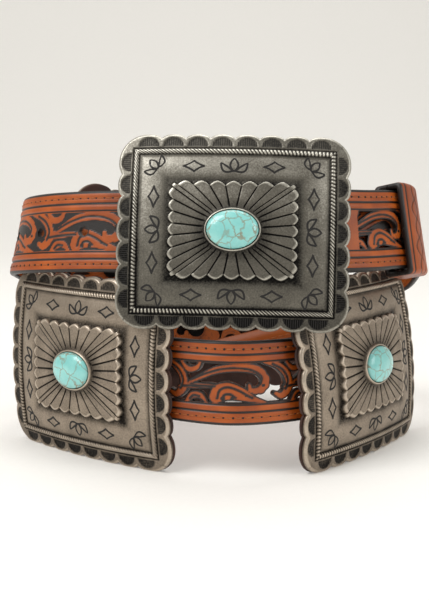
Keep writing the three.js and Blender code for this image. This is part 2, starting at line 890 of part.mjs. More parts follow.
function conchoPlateGeometry() {
  const posts = conchoPosts(postDiameter / 2, plateStandoff - halfStrap - pieceGap);
  return fromManifold(posts.reduce((sum, post) => sum.add(post), toManifold(plateGeometry())));
}

function conchoBackingGeometry() {
  const holes = conchoPosts((postDiameter + postHoleSpare) / 2, plateStandoff);
  return fromManifold(holes.reduce((sum, hole) => sum.subtract(hole), toManifold(backingGeometry())));
}

Object.entries(seatAt).forEach(([name, s]) => {
  const frame = route.at(s);
  const holder = placed({
    across: frame.along,
    up: frame.up,
    normal: frame.out,
    centre: frame.point.clone().addScaledVector(frame.out, plateStandoff),
  });
  const plate = standOnFloor(conchoPlateGeometry(), holder);
  const backing = standOnFloor(conchoBackingGeometry(), holder);
  addMesh(`${name}_plate`, plate, looks.concho, holder);
  addMesh(`${name}_backing`, backing, looks.backing, holder);
  addMesh(`${name}_stone`, stoneGeometry(), looks.stone, holder);
  [-1, 1].forEach((side) => {
    const from = -plateStandoff - halfStrap - pieceGap;
    const head = cylinderAlong(
      screwHeadDiameter / 2,
      [side * screwFromCentre, 0, from],
      [side * screwFromCentre, 0, from - screwHeadThickness],
      10,
    );
    addMesh(`${name}_screw_${side < 0 ? "a" : "b"}`, head, looks.screw, holder);
  });
});

// The origin is on the floor, below the middle of the whole belt
const bounds = new THREE.Box3().setFromObject(group, true);
group.position.set(
  -(bounds.min.x + bounds.max.x) / 2,
  -(bounds.min.y + bounds.max.y) / 2,
  -bounds.min.z,
);

export default group;
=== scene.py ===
# %% [markdown]
# # A western concho belt
# A tooled and pierced leather strap carries four cast plates, called conchos, and closes with a
# fifth plate, the buckle. The belt stands on its edge in two turns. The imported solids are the
# fixed frame: each finer piece below is made in the same place and takes a solid's role.

import math

import bpy
import numpy as np
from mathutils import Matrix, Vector


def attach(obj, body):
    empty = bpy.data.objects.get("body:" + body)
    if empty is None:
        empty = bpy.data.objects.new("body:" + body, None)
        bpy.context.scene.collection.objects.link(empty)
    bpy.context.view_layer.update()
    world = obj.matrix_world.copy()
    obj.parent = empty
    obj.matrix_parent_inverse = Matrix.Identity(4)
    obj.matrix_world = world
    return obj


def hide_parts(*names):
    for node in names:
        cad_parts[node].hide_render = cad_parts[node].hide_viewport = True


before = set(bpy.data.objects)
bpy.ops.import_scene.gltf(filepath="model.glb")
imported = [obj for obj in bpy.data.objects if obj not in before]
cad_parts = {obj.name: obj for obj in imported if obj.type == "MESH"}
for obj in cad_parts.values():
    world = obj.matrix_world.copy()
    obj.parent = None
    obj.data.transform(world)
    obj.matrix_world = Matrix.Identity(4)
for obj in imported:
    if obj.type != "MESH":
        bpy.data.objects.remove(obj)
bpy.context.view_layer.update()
print("solids in the frame:", len(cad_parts))

# %% [markdown]
# ## Sizes
# The belt maker thinks in millimetres, so every size below is in millimetres, and one function
# moves a point to the frame, which is in metres with its origin under the middle of the belt.

# %% Sizes of the real pieces
strap_width = 38.0
strap_thickness = 3.4
half_strap = strap_thickness / 2
half_width = strap_width / 2
scroll_field = 18.5
scroll_repeat = 49.0
punch_pitch = 25.0
punch_radius = 2.3
first_hole, last_hole = -4, 2
stitch_pitch = 4.1
fold_length = 24.0
fold_tail_inset = 1.6

coil_half_width = 101.5
coil_half_depth = 78.0
coil_centre_y = -12.0
plate_half_width = 52.0
plate_half_height = 43.75
floor_trim = 0.7
lower_turn_height = plate_half_height - floor_trim
upper_turn_height = 109.0
seat_straight = 40.0
seat_flat_share = 0.72
upper_lean = 12.5

frame_shift = np.array([-1.245, 4.815, 0.0])


def to_row(points):
    """Belt points in millimetres become frame points in metres, never below the floor."""
    moved = (np.asarray(points, float) + frame_shift) / 1000
    moved[..., 2] = np.maximum(moved[..., 2], 0.0)
    return moved


print("strap", strap_width, "mm wide, plates", 2 * plate_half_width, "by", 2 * plate_half_height, "mm")

# %% [markdown]
# ## The way the strap runs
# A strap can bend on the flat, but not in its own width. So the run is given as a few stations
# on its middle line, each with its up direction, and a smooth curve goes through them. A
# centripetal Catmull-Rom curve passes through every station without loops or overshoot.
# Where a plate is screwed on, the strap is straight.

# %% Stations
rows = [
    (0.690, -0.520, 0.990, 1), (0.895, -0.245, 0.965, 1), (0.985, 0.060, 0.880, 0.9),
    (0.945, 0.390, 0.690, 0.6), (0.710, 0.610, 0.480, 0.3),
    (0.100, 0.712, 0.110, 0, "concho_1", 178, -14.3),
    (-0.450, 0.650, 0.015, 0), (-0.750, 0.440, 0, 0), (-0.935, 0.130, 0, 0),
    (-0.562, -0.465, 0, 0.08, "concho_2", -39.2, 0),
    (0.079, -0.970, 0, 0.3),
    (0.648, -0.383, -0.008, 0.54, "concho_3", 52.7, 0),
    (0.972, 0.240, 0, 0.2), (0.965, 0.620, 0.005, 0), (0.800, 0.880, 0.020, 0),
    (0.424, 1.020, 0.060, 0), (0.100, 1.045, 0.170, 0),
    (-0.394, 0.905, 0.425, 0.2, "concho_4", 200, 18),
    (-0.880, 0.470, 0.700, 0.8), (-0.961, 0.205, 0.820, 1), (-0.951, -0.090, 0.895, 1),
    (-0.833, -0.337, 0.945, 1), (-0.591, -0.526, 0.980, 1), (-0.296, -0.628, 0.992, 1),
    (0, -0.645, 0.995, 1),
]


def unit(vector):
    return vector / np.linalg.norm(vector)


def row_point(row):
    across, away, rise = row[:3]
    return np.array([
        across * coil_half_width,
        coil_centre_y + away * coil_half_depth,
        lower_turn_height + rise * (upper_turn_height - lower_turn_height),
    ])


def cos_sin(angle):
    """Cosine and sine of an angle in degrees."""
    return math.cos(math.radians(angle)), math.sin(math.radians(angle))


def leaning_up(direction, lean):
    """The strap's width direction where its top tips in by a lean."""
    out = unit(np.array([direction[1], -direction[0], 0]))
    upright, tipped = cos_sin(lean)
    return np.array([0, 0, upright]) - out * tipped


main_stations = []
for index, row in enumerate(rows):
    point = row_point(row)
    lean = row[3] * upper_lean
    if len(row) > 4:
        (ahead, aside), (level, climb) = cos_sin(row[5]), cos_sin(row[6])
        along = np.array([ahead * level, aside * level, climb])
        for share in (-1, -seat_flat_share, 0, seat_flat_share, 1):
            name = row[4] if share == 0 else None
            main_stations.append((point + along * share * seat_straight, leaning_up(along, lean), name))
    else:
        before, after = rows[max(index - 1, 0)], rows[min(index + 1, len(rows) - 1)]
        main_stations.append((point, leaning_up(row_point(after) - row_point(before), lean), None))
print("stations on the two turns:", len(main_stations))

# %% [markdown]
# ## The buckle's place and the strap's two ends
# The buckle hangs in front of the upper turn. One end of the strap folds round a bar behind it.
# The other end, the billet, passes behind, catches a hook in one of its holes and slips through
# the keeper, inside the fixed end.

# %% Buckle frame, fold and billet
hook_from_centre = 21.0
bar_from_centre = 26.0
bar_diameter = 3.4
bar_gap = 0.8
strap_above_buckle = 3.6
layer_gap = 0.6
keeper_from_bar = 68.0
keeper_length = 22.0
buckle_behind_space = 18.8
buckle_above_strap = 2.0
join_start, join_length, join_spare = 4.0, 18.0, 3.0
billet_end_past_keeper = 12.0
billet_field_end = 4.6 * punch_pitch


def plate_frame(centre, yaw, lean, roll):
    (cos_yaw, sin_yaw), (cos_lean, sin_lean) = cos_sin(yaw), cos_sin(lean)
    across = np.array([cos_yaw, sin_yaw, 0])
    normal = np.array([sin_yaw * cos_lean, -cos_yaw * cos_lean, sin_lean])
    up = np.cross(normal, across)
    cos_roll, sin_roll = cos_sin(roll)
    turned = across * cos_roll - up * sin_roll
    return {"centre": centre, "across": turned, "up": np.cross(normal, turned), "normal": normal}


buckle_centre = np.array([
    0.078 * coil_half_width, coil_centre_y - 0.935 * coil_half_depth, upper_turn_height + buckle_above_strap,
])
buckle = plate_frame(buckle_centre, yaw=-2.4, lean=upper_lean, roll=1)
fold_radius = bar_diameter / 2 + bar_gap + half_strap
bar_depth = buckle_behind_space + fold_radius


def in_buckle(u, v, depth):
    return buckle["centre"] + buckle["across"] * u + buckle["up"] * v - buckle["normal"] * depth


def square_to_bar(vector):
    return vector - buckle["up"] * np.dot(vector, buckle["up"])


bar_centre = in_buckle(bar_from_centre, strap_above_buckle, bar_depth)
reach = square_to_bar(main_stations[0][0] - bar_centre)
side = unit(np.cross(reach, buckle["up"]))
towards = unit(square_to_bar(reach - side * fold_radius))
fold_out = unit(np.cross(towards, buckle["up"]))
fold = [
    (fold_length, -fold_radius + fold_tail_inset), (fold_length / 2, -fold_radius),
    (fold_radius / 2, -fold_radius),
]
for angle in range(0, 181, 30):
    across, along = cos_sin(angle)
    fold.append((-fold_radius * along, -fold_radius * across))
fold.append((fold_radius, fold_radius))
fold_stations = [
    (bar_centre + towards * along + fold_out * outward, buckle["up"], None) for along, outward in fold
]
print("bar behind the buckle at", np.round(bar_centre, 1))


# %% The smooth run through stations
class Run:
    """A centripetal Catmull-Rom curve through stations, measured by its length."""

    fine = 24

    def __init__(self, stations):
        points = np.array([s[0] for s in stations])
        self.ups = np.array([s[1] for s in stations])
        first, last = 2 * points[0] - points[1], 2 * points[-1] - points[-2]
        padded = np.vstack([first, points, last])
        gaps = np.linalg.norm(np.diff(padded, axis=0), axis=1) ** 0.5
        a, b, c = gaps[:-2, None], gaps[1:-1, None], gaps[2:, None]
        p0, p1, p2, p3 = padded[:-3], padded[1:-2], padded[2:-1], padded[3:]
        start = ((p1 - p0) / a - (p2 - p0) / (a + b) + (p2 - p1) / b) * b
        end = ((p2 - p1) / b - (p3 - p1) / (b + c) + (p3 - p2) / c) * b
        self.terms = np.stack([p1, start, -3 * p1 + 3 * p2 - 2 * start - end, 2 * p1 - 2 * p2 + start + end])
        self.count = len(points) - 1
        at = np.arange(self.count * self.fine + 1) / self.fine
        samples = self.curve(at)[0]
        steps = np.linalg.norm(np.diff(samples, axis=0), axis=1)
        self.at, self.length = at, np.concatenate([[0], np.cumsum(steps)])
        self.total = self.length[-1]

    def curve(self, at):
        segment = np.clip(np.floor(at).astype(int), 0, self.count - 1)
        w = (at - segment)[:, None]
        c0, c1, c2, c3 = self.terms[:, segment]
        return ((c3 * w + c2) * w + c1) * w + c0, (3 * c3 * w + 2 * c2) * w + c1

    def station_length(self, index):
        return self.length[index * self.fine]

    def frames(self, s):
        """Point, along, up and out at each length in s."""
        at = np.interp(s, self.length, self.at)
        point, tangent = self.curve(at)
        segment = np.clip(np.floor(at).astype(int), 0, self.count - 1)
        blend = (at - segment)[:, None]
        ease = blend * blend * (3 - 2 * blend)
        hint = self.ups[segment] * (1 - ease) + self.ups[segment + 1] * ease
        along = tangent / np.linalg.norm(tangent, axis=1)[:, None]
        up = hint - along * np.sum(hint * along, axis=1)[:, None]
        up /= np.linalg.norm(up, axis=1)[:, None]
        return point, along, up, np.cross(along, up)

    def place(self, s, w, n):
        """Points at length s, w up the strap's width and n out from its middle."""
        s, w, n = np.broadcast_arrays(s, w, n)
        point, _, up, out = self.frames(s.ravel())
        placed = point + up * w.ravel()[:, None] + out * n.ravel()[:, None]
        return placed.reshape(*s.shape, 3)


outer_end = Run(fold_stations + main_stations)
bar_at = outer_end.station_length(len(fold_stations) - 1)
keeper_at = bar_at + keeper_from_bar
inner_layer = strap_thickness + layer_gap
billet_rows = [
    (join_start, 2 * fold_radius + inner_layer),
    (fold_length, 2 * fold_radius + inner_layer - fold_tail_inset),
    (fold_length + join_length, inner_layer + join_spare),
    (keeper_from_bar - keeper_length / 2, inner_layer), (keeper_from_bar, inner_layer),
    (keeper_from_bar + keeper_length / 2, inner_layer),
    (keeper_from_bar + keeper_length / 2 + billet_end_past_keeper, inner_layer),
]
point, _, up, out = outer_end.frames(np.array([bar_at + past for past, _ in billet_rows]))
billet_stations = [
    (point[i] - out[i] * inward, up[i], None) for i, (_, inward) in enumerate(billet_rows)
]
stations = fold_stations + main_stations + billet_stations
run = Run(stations)
seat_at = {s[2]: run.station_length(i) for i, s in enumerate(stations) if s[2]}
tail = np.arange(run.total * 0.75, run.total, 0.5)
hook_goal = in_buckle(-hook_from_centre, strap_above_buckle, bar_depth)
hook_at = tail[np.argmin(np.linalg.norm(run.frames(tail)[0] - hook_goal, axis=1))]
scroll_from = bar_at + fold_length
billet_from = hook_at - billet_field_end
print("strap", round(run.total), "mm long, plates at", {k: round(float(v)) for k, v in seat_at.items()})

# %% [markdown]
# ## Making meshes
# Every piece is a list of points and faces worked out in millimetres. Besides its shape a piece
# carries painted values on its points: ink is how much dark stain lies there, lining marks the
# inside of the strap, and wear is how far polishing has brought the metal back. The finishes
# read those values.


# %% One function for every mesh
def make_piece(name, points, faces, smooth=True, **painted):
    mesh = bpy.data.meshes.new(name)
    mesh.from_pydata(to_row(points).tolist(), [], faces)
    for label, values in painted.items():
        attribute = mesh.attributes.new(label, "FLOAT", "POINT")
        attribute.data.foreach_set("value", np.asarray(values, np.float32))
    if smooth:
        mesh.shade_smooth()
    piece = bpy.data.objects.new(name, mesh)
    bpy.context.scene.collection.objects.link(piece)
    print(name, len(points), "points", len(faces), "faces")
    return piece


def grid_faces(rows_count, columns, closed_rows=False, closed_columns=False):
    """Quads over a grid of points stored row by row."""
    row = np.arange(rows_count if closed_rows else rows_count - 1)[:, None]
    column = np.arange(columns if closed_columns else columns - 1)[None, :]
    below, right = (row + 1) % rows_count, (column + 1) % columns
    corners = [(row, column), (row, right), (below, right), (below, column)]
    return np.stack([(r * columns + c).ravel() for r, c in corners], axis=1).tolist()


def tube_faces(rings, ring):
    """Quads over closed rings of points, with a cap at each end."""
    caps = [list(range(ring))[::-1], [(rings - 1) * ring + i for i in range(ring)]]
    return grid_faces(rings, ring, closed_columns=True) + caps


def smooth_step(value, low, high):
    share = np.clip((value - low) / (high - low), 0, 1)
    return share * share * (3 - 2 * share)


# %% [markdown]
# ## The scroll
# The middle of the strap is filled with a running leaf scroll, the common pattern of western
# saddle work, and the leather between the leaves is cut away. Here each leaf is a row of
# overlapping discs along a curve. The largest value of radius minus distance is a field that is
# above zero on leather and below zero in the gaps.

# %% Leaves of one repeat
# Each row: the points of the line, the radius along it, and the share of it with a toothed edge.
leaves = [
    ([(-4, -2.2), (4, 2.2), (12, 6.0), (22, 7.2), (30, 5.6), (33.6, 1.0), (31.4, -3.0), (27, -3.2),
      (26, -0.8)],
     [0.9, 1.5, 2.0, 2.2, 2.5, 2.6, 2.3, 1.7, 1.2], (0.5, 1.0)),
    ([(11.5, -6.2), (13.6, -4.2), (17, -3.4), (22, -4.6), (28, -7.2), (35, -9.2)],
     [3.2, 4.4, 4.3, 3.4, 1.8, 0.6], None),
    ([(33, 9.4), (40, 7.2), (44.6, 2.6), (45.0, -3.0), (41.6, -6.4), (38.4, -5.2)],
     [1.2, 2.0, 2.4, 2.4, 2.0, 1.3], (0.35, 1.0)),
    ([(-2.5, -9.4), (0.5, -6.2), (4.6, -6.0), (7.6, -9.0)], [1.2, 1.9, 1.7, 0.8], None),
    ([(-5, 8.8), (-1.5, 5.6), (2.4, 6.4), (4.4, 9.2)], [1.0, 1.7, 1.5, 0.9], None),
    ([(-6, -2.6), (2, -1.8), (9, -1.2), (13, -1.6)], [1.0, 1.5, 1.3, 0.7], None),
]
veins = [
    [(0, 0.9), (8, 4.6), (17, 6.9), (26, 6.2), (31.4, 3.0), (31.2, -0.4)],
    [(12.2, -6.8), (13.4, -3.0), (17, -1.6), (21.5, -3.2), (25.4, -5.6), (27.4, -6.6)],
    [(15, -7.4), (15.2, -5.2), (17.8, -4.8), (20, -6.4)],
    [(37, 8.2), (42.2, 5.2), (44.8, 0.6), (43.6, -3.6)],
    [(-4.4, -2.4), (3, -1.7), (11, -1.4)],
    [(-0.6, -7.8), (1.2, -6.2), (4, -6.4)],
]
drops = [(14.6, -6.8, 0.75), (18.6, -6.9, 0.7), (24.6, -5.2, 0.6), (32.6, -1.2, 0.6)]


def smooth_line(knots, count):
    """Points on a curve through knots, spaced evenly by knot."""
    knots = np.array(knots, float)
    at = np.linspace(0, len(knots) - 1, count)
    low = np.clip(at.astype(int), 0, len(knots) - 2)
    w = (at - low)[:, None]
    padded = np.vstack([2 * knots[0] - knots[1], knots, 2 * knots[-1] - knots[-2]])
    p0, p1, p2, p3 = (padded[low + k] for k in range(4))
    return 0.5 * (2 * p1 + (p2 - p0) * w + (2 * p0 - 5 * p1 + 4 * p2 - p3) * w**2
                  + (3 * p1 - p0 - 3 * p2 + p3) * w**3)


def tile_distance(along, across, discs):
    """The largest radius minus distance over discs, repeated along the strap."""
    best = np.full(along.shape, -99.0)
    for x, y, radius in discs:
        shift = (along - x + scroll_repeat / 2) % scroll_repeat - scroll_repeat / 2
        best = np.maximum(best, radius - np.hypot(shift, across - y))
    return best


discs_per_line = 60
tooth_depth, tooth_count = 0.55, 14
leaf_discs = []
share = np.linspace(0, 1, discs_per_line)
for knots, radii, teeth in leaves:
    radius = np.interp(share, np.linspace(0, 1, len(radii)), radii)
    if teeth:
        toothed = (share > teeth[0]) & (share < teeth[1])
        radius = radius - toothed * tooth_depth * (0.5 + 0.5 * np.cos(share * 2 * math.pi * tooth_count))
    leaf_discs += [(x, y, r) for (x, y), r in zip(smooth_line(knots, discs_per_line), radius)]
vein_discs = [(x, y, 0.0) for knots in veins for x, y in smooth_line(knots, discs_per_line)]
print("discs in one repeat of the scroll:", len(leaf_discs))

# %% [markdown]
# ## Cutting the scroll out
# A fine grid lies over the middle of the strap. Where the field changes sign between two grid
# points the cut edge is placed by proportion, which is the method called marching squares. The
# same outline is used for the outside, the lining and the walls of each gap, so the strap is
# a real pierced sheet. The billet isn't pierced: its ground is only stained dark and has holes.

# %% The field and the relief on the grid
cell = 0.7
grid_s = np.linspace(0.2, run.total - 0.2, int(run.total / cell))
grid_w = np.linspace(-scroll_field / 2, scroll_field / 2, 32)
S, W = np.meshgrid(grid_s, grid_w, indexing="ij")
period_s = np.linspace(0, scroll_repeat, 164)
around = (grid_s - scroll_from) % scroll_repeat


def repeated(discs):
    """One repeat's field worked out on a grid and laid along the strap."""
    period = tile_distance(*np.meshgrid(period_s, grid_w, indexing="ij"), discs)
    return np.stack([np.interp(around, period_s, column) for column in period.T], axis=1)


leaf, vein, drop = repeated(leaf_discs), -repeated(vein_discs), -repeated(drops)
hole_number = np.round((S - hook_at) / punch_pitch)
hole = np.hypot(S - hook_at - np.clip(hole_number, first_hole, last_hole) * punch_pitch, W) - punch_radius
plain_end = scroll_from + 4
pierced = (S > plain_end) & (S < billet_from)
on_billet = S >= billet_from
rail = np.abs(W) - (scroll_field / 2 - 0.5)
solid = np.where(pierced, np.maximum(leaf, rail), 4.0)
solid = np.minimum(solid, hole)
ground = 1 - smooth_step(np.maximum(leaf, rail), -0.2, 0.35)
ink = np.exp(-(np.maximum(solid, 0) / 0.6) ** 2)
ink = np.maximum(ink, np.exp(-(vein / 0.6) ** 2) * (leaf > 0.25))
ink = np.maximum(ink, 0.9 * (1 - smooth_step(drop, -0.1, 0.4)))
ink = np.where(S < plain_end, 0.1, ink)
ink = np.where(on_billet, np.maximum(ink, ground), ink)
stain_depth = 0.28
face_height = half_strap - 0.25 - stain_depth * ink
print("leather left in the scroll:", round(float((solid[pierced] > 0).mean()), 2))


# %% Marching squares
def cut_sheet(run_line, field, s_lines, w_lines, outer, lining):
    """Points and faces of a pierced sheet, and for each point its weights on the grid."""
    ns, nw = field.shape
    corner_id = np.arange(ns * nw).reshape(ns, nw)
    along_id = corner_id + ns * nw
    across_id = corner_id + 2 * ns * nw
    inside = field > 0
    case = (inside[:-1, :-1] * 1 + inside[1:, :-1] * 2 + inside[1:, 1:] * 4 + inside[:-1, 1:] * 8)
    corners = [corner_id[:-1, :-1], corner_id[1:, :-1], corner_id[1:, 1:], corner_id[:-1, 1:]]
    edges = [along_id[:-1, :-1], across_id[1:, :-1], along_id[:-1, 1:], across_id[:-1, :-1]]
    faces, cuts = [], []
    for number in range(1, 16):
        cells = np.nonzero(case == number)
        if len(cells[0]) == 0:
            continue
        path, cut = [], []
        for k in range(4):
            here, after = number >> k & 1, number >> ((k + 1) % 4) & 1
            if here:
                path.append(corners[k][cells])
            if here != after:
                path.append(edges[k][cells])
                cut.append((edges[k][cells], here))
        faces += np.stack(path, axis=1).tolist()
        for k in range(0, len(cut), 2):
            ends = cut[k:k + 2] if cut[k][1] else [cut[k + 1], cut[k]]
            if len(cut) == 4 and not cut[0][1]:
                ends = [cut[(k + 3) % 4], cut[k]]
            cuts.append(np.stack([ends[0][0], ends[1][0]], axis=1))
    cuts = np.concatenate(cuts)
    used = np.unique(np.concatenate([np.concatenate([np.asarray(f) for f in faces]), cuts.ravel()]))
    kind, at = used // (ns * nw), used % (ns * nw)
    i, j = at // nw, at % nw
    i2, j2 = np.minimum(i + (kind == 1), ns - 1), np.minimum(j + (kind == 2), nw - 1)
    gap = field[i2, j2] - field[i, j]
    share = np.where(kind == 0, 0, np.clip(-field[i, j] / np.where(gap == 0, 1, gap), 0.04, 0.96))

    def on_grid(values):
        return values[i, j] * (1 - share) + values[i2, j2] * share

    s = s_lines[i] * (1 - share) + s_lines[i2] * share
    w = w_lines[j] * (1 - share) + w_lines[j2] * share
    top = run_line.place(s, w, on_grid(outer))
    bottom = run_line.place(s, w, np.full(len(s), lining))
    renumber = np.zeros(3 * ns * nw, int)
    renumber[used] = np.arange(len(used))
    count = len(used)
    front = [renumber[np.asarray(f)].tolist() for f in faces]
    back = [[v + count for v in reversed(f)] for f in front]
    cuts = renumber[cuts]
    walls = np.stack([cuts[:, 1], cuts[:, 0], cuts[:, 0] + count, cuts[:, 1] + count], axis=1).tolist()
    return np.vstack([top, bottom]), front + back + walls, on_grid


points, faces, on_grid = cut_sheet(run, solid, grid_s, grid_w, face_height, -half_strap + 0.1)
ink_top = on_grid(ink)
scroll = make_piece(
    "strap_scroll", points, faces, smooth=False,
    ink=np.concatenate([ink_top, 0.35 * (ink_top > 0.8)]),
    lining=np.concatenate([np.zeros(len(ink_top)), np.ones(len(ink_top))]),
)

# %% [markdown]
# ## The tooled borders
# Along both edges runs a plain border with a stitch line, then a dark groove, a raised bead and
# a second groove. One cross-section with those steps is swept along the strap. Its edge is
# rounded and painted dark, as belt makers finish a cut edge.

# %% Border strips
border_profile = [
    # across, height over the plain face, ink
    (9.05, -1.2, 0.9), (9.2, -0.45, 1.0), (9.45, -0.5, 1.0), (9.8, -0.45, 0.9),
    (10.05, -0.15, 0.25), (10.5, 0.0, 0.0), (11.2, 0.08, 0.0), (11.9, 0.0, 0.0), (12.35, -0.15, 0.25),
    (12.6, -0.45, 0.9),
    (12.95, -0.5, 1.0), (13.25, -0.45, 0.9), (13.5, -0.15, 0.2), (14.2, -0.04, 0.0),
    (15.0, -0.12, 0.0), (15.4, -0.2, 0.12), (15.8, -0.12, 0.0), (16.8, -0.05, 0.0), (17.5, -0.12, 0.1),
    (17.8, -0.2, 0.95), (18.5, -0.45, 1.0), (18.9, -0.95, 1.0), (19.0, -1.7, 1.0),
    (18.9, -2.45, 1.0), (18.5, -2.95, 1.0), (17.8, -3.25, 0.9), (17.2, -3.4, 0.1), (9.05, -3.35, 0.0),
]
border_step = 1.7
border_s = np.linspace(0, run.total, int(run.total / border_step))
across, height, stain = (np.array(column) for column in zip(*border_profile))
S, A = np.meshgrid(border_s, across, indexing="ij")
borders = []
for label, sign in (("upper", 1), ("lower", -1)):
    points = run.place(S, sign * A, np.broadcast_to(half_strap + height, S.shape))
    borders.append(make_piece(
        f"strap_border_{label}", points.reshape(-1, 3), [face[::sign * -1] for face in tube_faces(*S.shape)],
        ink=np.tile(stain, len(border_s)), lining=np.tile((height < -2) & (stain < 0.5), len(border_s)),
    ))

# %% [markdown]
# ## Stitches
# A waxed thread lies in the border's shallow channel. On a real saddle stitch each stitch
# is a short capsule that dips into its hole at both ends, so that is what is made here, once
# along each edge and on both faces. Each hole between the stitches is a flat dark disc on the
# face: painted shade that stands for the depth of the hole.


# %% Thread and its holes
def capsule_row(name, places, size, sides=6):
    """Small capsules at places with along, across and out directions. Size is half of each."""
    turns = np.arange(sides) / sides * 2 * math.pi
    share = np.array([-1, -0.8, 0, 0.8, 1])
    thick = np.array([0.25, 0.85, 1, 0.85, 0.25])
    around, outward = np.outer(thick, np.cos(turns)), np.outer(thick, np.sin(turns))
    ring = np.stack(np.broadcast_arrays(share[:, None], around, outward), axis=2).reshape(-1, 3) * size
    point, *directions = places
    body = point[:, None] + np.einsum("rk,kpc->prc", ring, np.array(directions))
    single = np.array(tube_faces(len(share), sides)[:-2])
    caps = np.array(tube_faces(len(share), sides)[-2:])
    starts = np.arange(len(point))[:, None, None] * len(ring)
    faces = (starts + single).reshape(-1, 4).tolist() + (starts + caps).reshape(-1, sides).tolist()
    return make_piece(name, body.reshape(-1, 3), faces)


stitch_line = 15.4
stitch_s = np.arange(3.0, run.total - 3, stitch_pitch)
point, along, up, out = run.frames(stitch_s)
thread_rows, hole_shade_rows = [], []
for across in (stitch_line, -stitch_line):
    for face, height in ((1, half_strap - 0.12), (-1, half_strap + 0.02)):
        thread_rows.append((point + up * across + out * face * height, along, up * face, out * face))
    middle_of_gap = point + along * stitch_pitch / 2
    # Painted shade: a flat dark disc lies on the face where each stitch hole is.
    hole_shade_rows.append((middle_of_gap + up * across + out * (half_strap - 0.2), along, up, out))
thread_places, hole_shade_places = (
    [np.concatenate(part) for part in zip(*places)] for places in (thread_rows, hole_shade_rows)
)
stitches = capsule_row("strap_stitches", thread_places, (1.35, 0.36, 0.26))
stitch_hole_shade = capsule_row("strap_stitch_holes_painted_shade", hole_shade_places, (0.5, 0.55, 0.12))

# %% [markdown]
# ## The keeper
# The keeper is a short leather loop that holds the billet down. It bulges over the strap,
# its two edges are painted, and two carved waves run round it between two straight cuts.

# %% Keeper loop
keeper_wall = 2.6
slot_spare = 2.8
half_inside_w = half_width + slot_spare / 2
half_inside_n = (strap_thickness + inner_layer + slot_spare) / 2


def loop_outline(half_w, half_n, corner, count):
    """A rounded rectangle as evenly spaced points, and the distance run to each."""
    outline = []
    for sign_w, sign_n, start in ((1, 1, 0), (-1, 1, 90), (-1, -1, 180), (1, -1, 270)):
        for angle in np.linspace(start, start + 90, 10):
            arc_w, arc_n = (corner * part for part in cos_sin(angle))
            outline.append((sign_w * (half_w - corner) + arc_w, sign_n * (half_n - corner) + arc_n))
    outline = np.array(outline + outline[:1])
    length = np.concatenate([[0], np.cumsum(np.hypot(*np.diff(outline, axis=0).T))])
    even = np.linspace(0, length[-1], count, endpoint=False)
    return np.stack([np.interp(even, length, outline[:, k]) for k in (0, 1)], axis=1), even


keeper_points = 150
wave_pitch, wave_reach, rail_from_middle, cut_half_width = 9.5, 4.2, 7.9, 0.42
edge_shares = [0.36, 0.4, 0.45, 0.485, 0.5, 0.5]
keeper_share = [-x for x in reversed(edge_shares)] + list(np.linspace(-0.32, 0.32, 27)) + edge_shares
inner_line, _ = loop_outline(half_inside_w, half_inside_n, 1.0, keeper_points)
outer_line, around_keeper = loop_outline(
    half_inside_w + keeper_wall * 0.8, half_inside_n + keeper_wall, 2.6, keeper_points,
)
wave = np.sin(around_keeper / wave_pitch * math.pi) * wave_reach
front = outer_line[:, 1] > -half_inside_n
points, stain = [], []
for k, share in enumerate(keeper_share):
    s = np.full(keeper_points, keeper_at + share * keeper_length)
    edge = np.clip(0.5 - abs(share), 0, 0.05) / 0.05
    bulge = 0.9 * (1 - (2 * share) ** 2) * (outer_line[:, 1] > 0) * (abs(share) < 0.5)
    rails = np.full(keeper_points, abs(abs(share) * keeper_length - rail_from_middle))
    carved = (np.abs(share * keeper_length - wave), rails, np.abs(share * keeper_length + wave * 0.55))
    line_ink = np.maximum.reduce([np.exp(-(d / cut_half_width) ** 2) for d in carved]) * front
    on_outside = 0 < k < len(keeper_share) - 1
    line = outer_line if on_outside else inner_line
    cut = 0.4 * line_ink + (1 - edge) * 0.7
    n = line[:, 1] + np.sign(line[:, 1]) * (bulge - cut) * on_outside
    w = line[:, 0] - np.sign(line[:, 0]) * (1 - edge) * 0.4
    points.append(outer_end.place(s, w, n - inner_layer / 2))
    stain.append(np.maximum(line_ink, 1.0 - smooth_step(0.5 - abs(share), 0.02, 0.06)))
points = np.vstack(points)
keeper_faces = grid_faces(len(keeper_share), keeper_points, closed_rows=True, closed_columns=True)
keeper = make_piece(
    "keeper_loop", points, keeper_faces, ink=np.concatenate(stain), lining=np.zeros(len(points)),
)

# %% [markdown]
# ## The cast plates
# All five plates are the same casting: a domed plate with a scalloped rim, a rope border, a
# frame moulding and a raised panel of flutes round the stone. Casting relief is fine and even,
# so the plate is one net of rings from the stone's seat to the rim. Each ring follows the shape
# of its own part of the design, an ellipse in the middle and rectangles further out.

# %% The plate's sizes
def pair(across, up):
    """A size across the plate and a size up it, ready to work on rows of points."""
    return np.array([[across], [up]])


plate_half, plate_thickness = pair(plate_half_width, plate_half_height), 1.8
rope_half, rope_reach, rope_radius, rope_pitch = pair(44.0, 35.75), 1.3, 1.05, 1.65
scallops = pair(8, 7)
scallop_pitch = 2 * rope_half / scallops
scallop_foot, scallop_depth, corner_lobe = 5.6, 2.4, 12.5
moon_foot, moon_rise, moon_half = 2.1, 4.7, 0.86
panel_half, panel_rise, moulding_rise = pair(28.6, 21.7), 2.2, 0.9
bezel_half, bezel_rise, bezel_wall = pair(12.5, 9.6), 1.6, 0.8
seat_height = panel_rise + bezel_rise - 1.15
dome_radius = pair(231.0, 193.0)


def dome_drop(place):
    return np.sum(place**2 / (2 * dome_radius), axis=-2)


def along_scallop(place):
    """How far along its scallop a place is, from -1 to 1, on the top row and on the side row."""
    return (place + rope_half) % scallop_pitch / scallop_pitch * 2 - 1


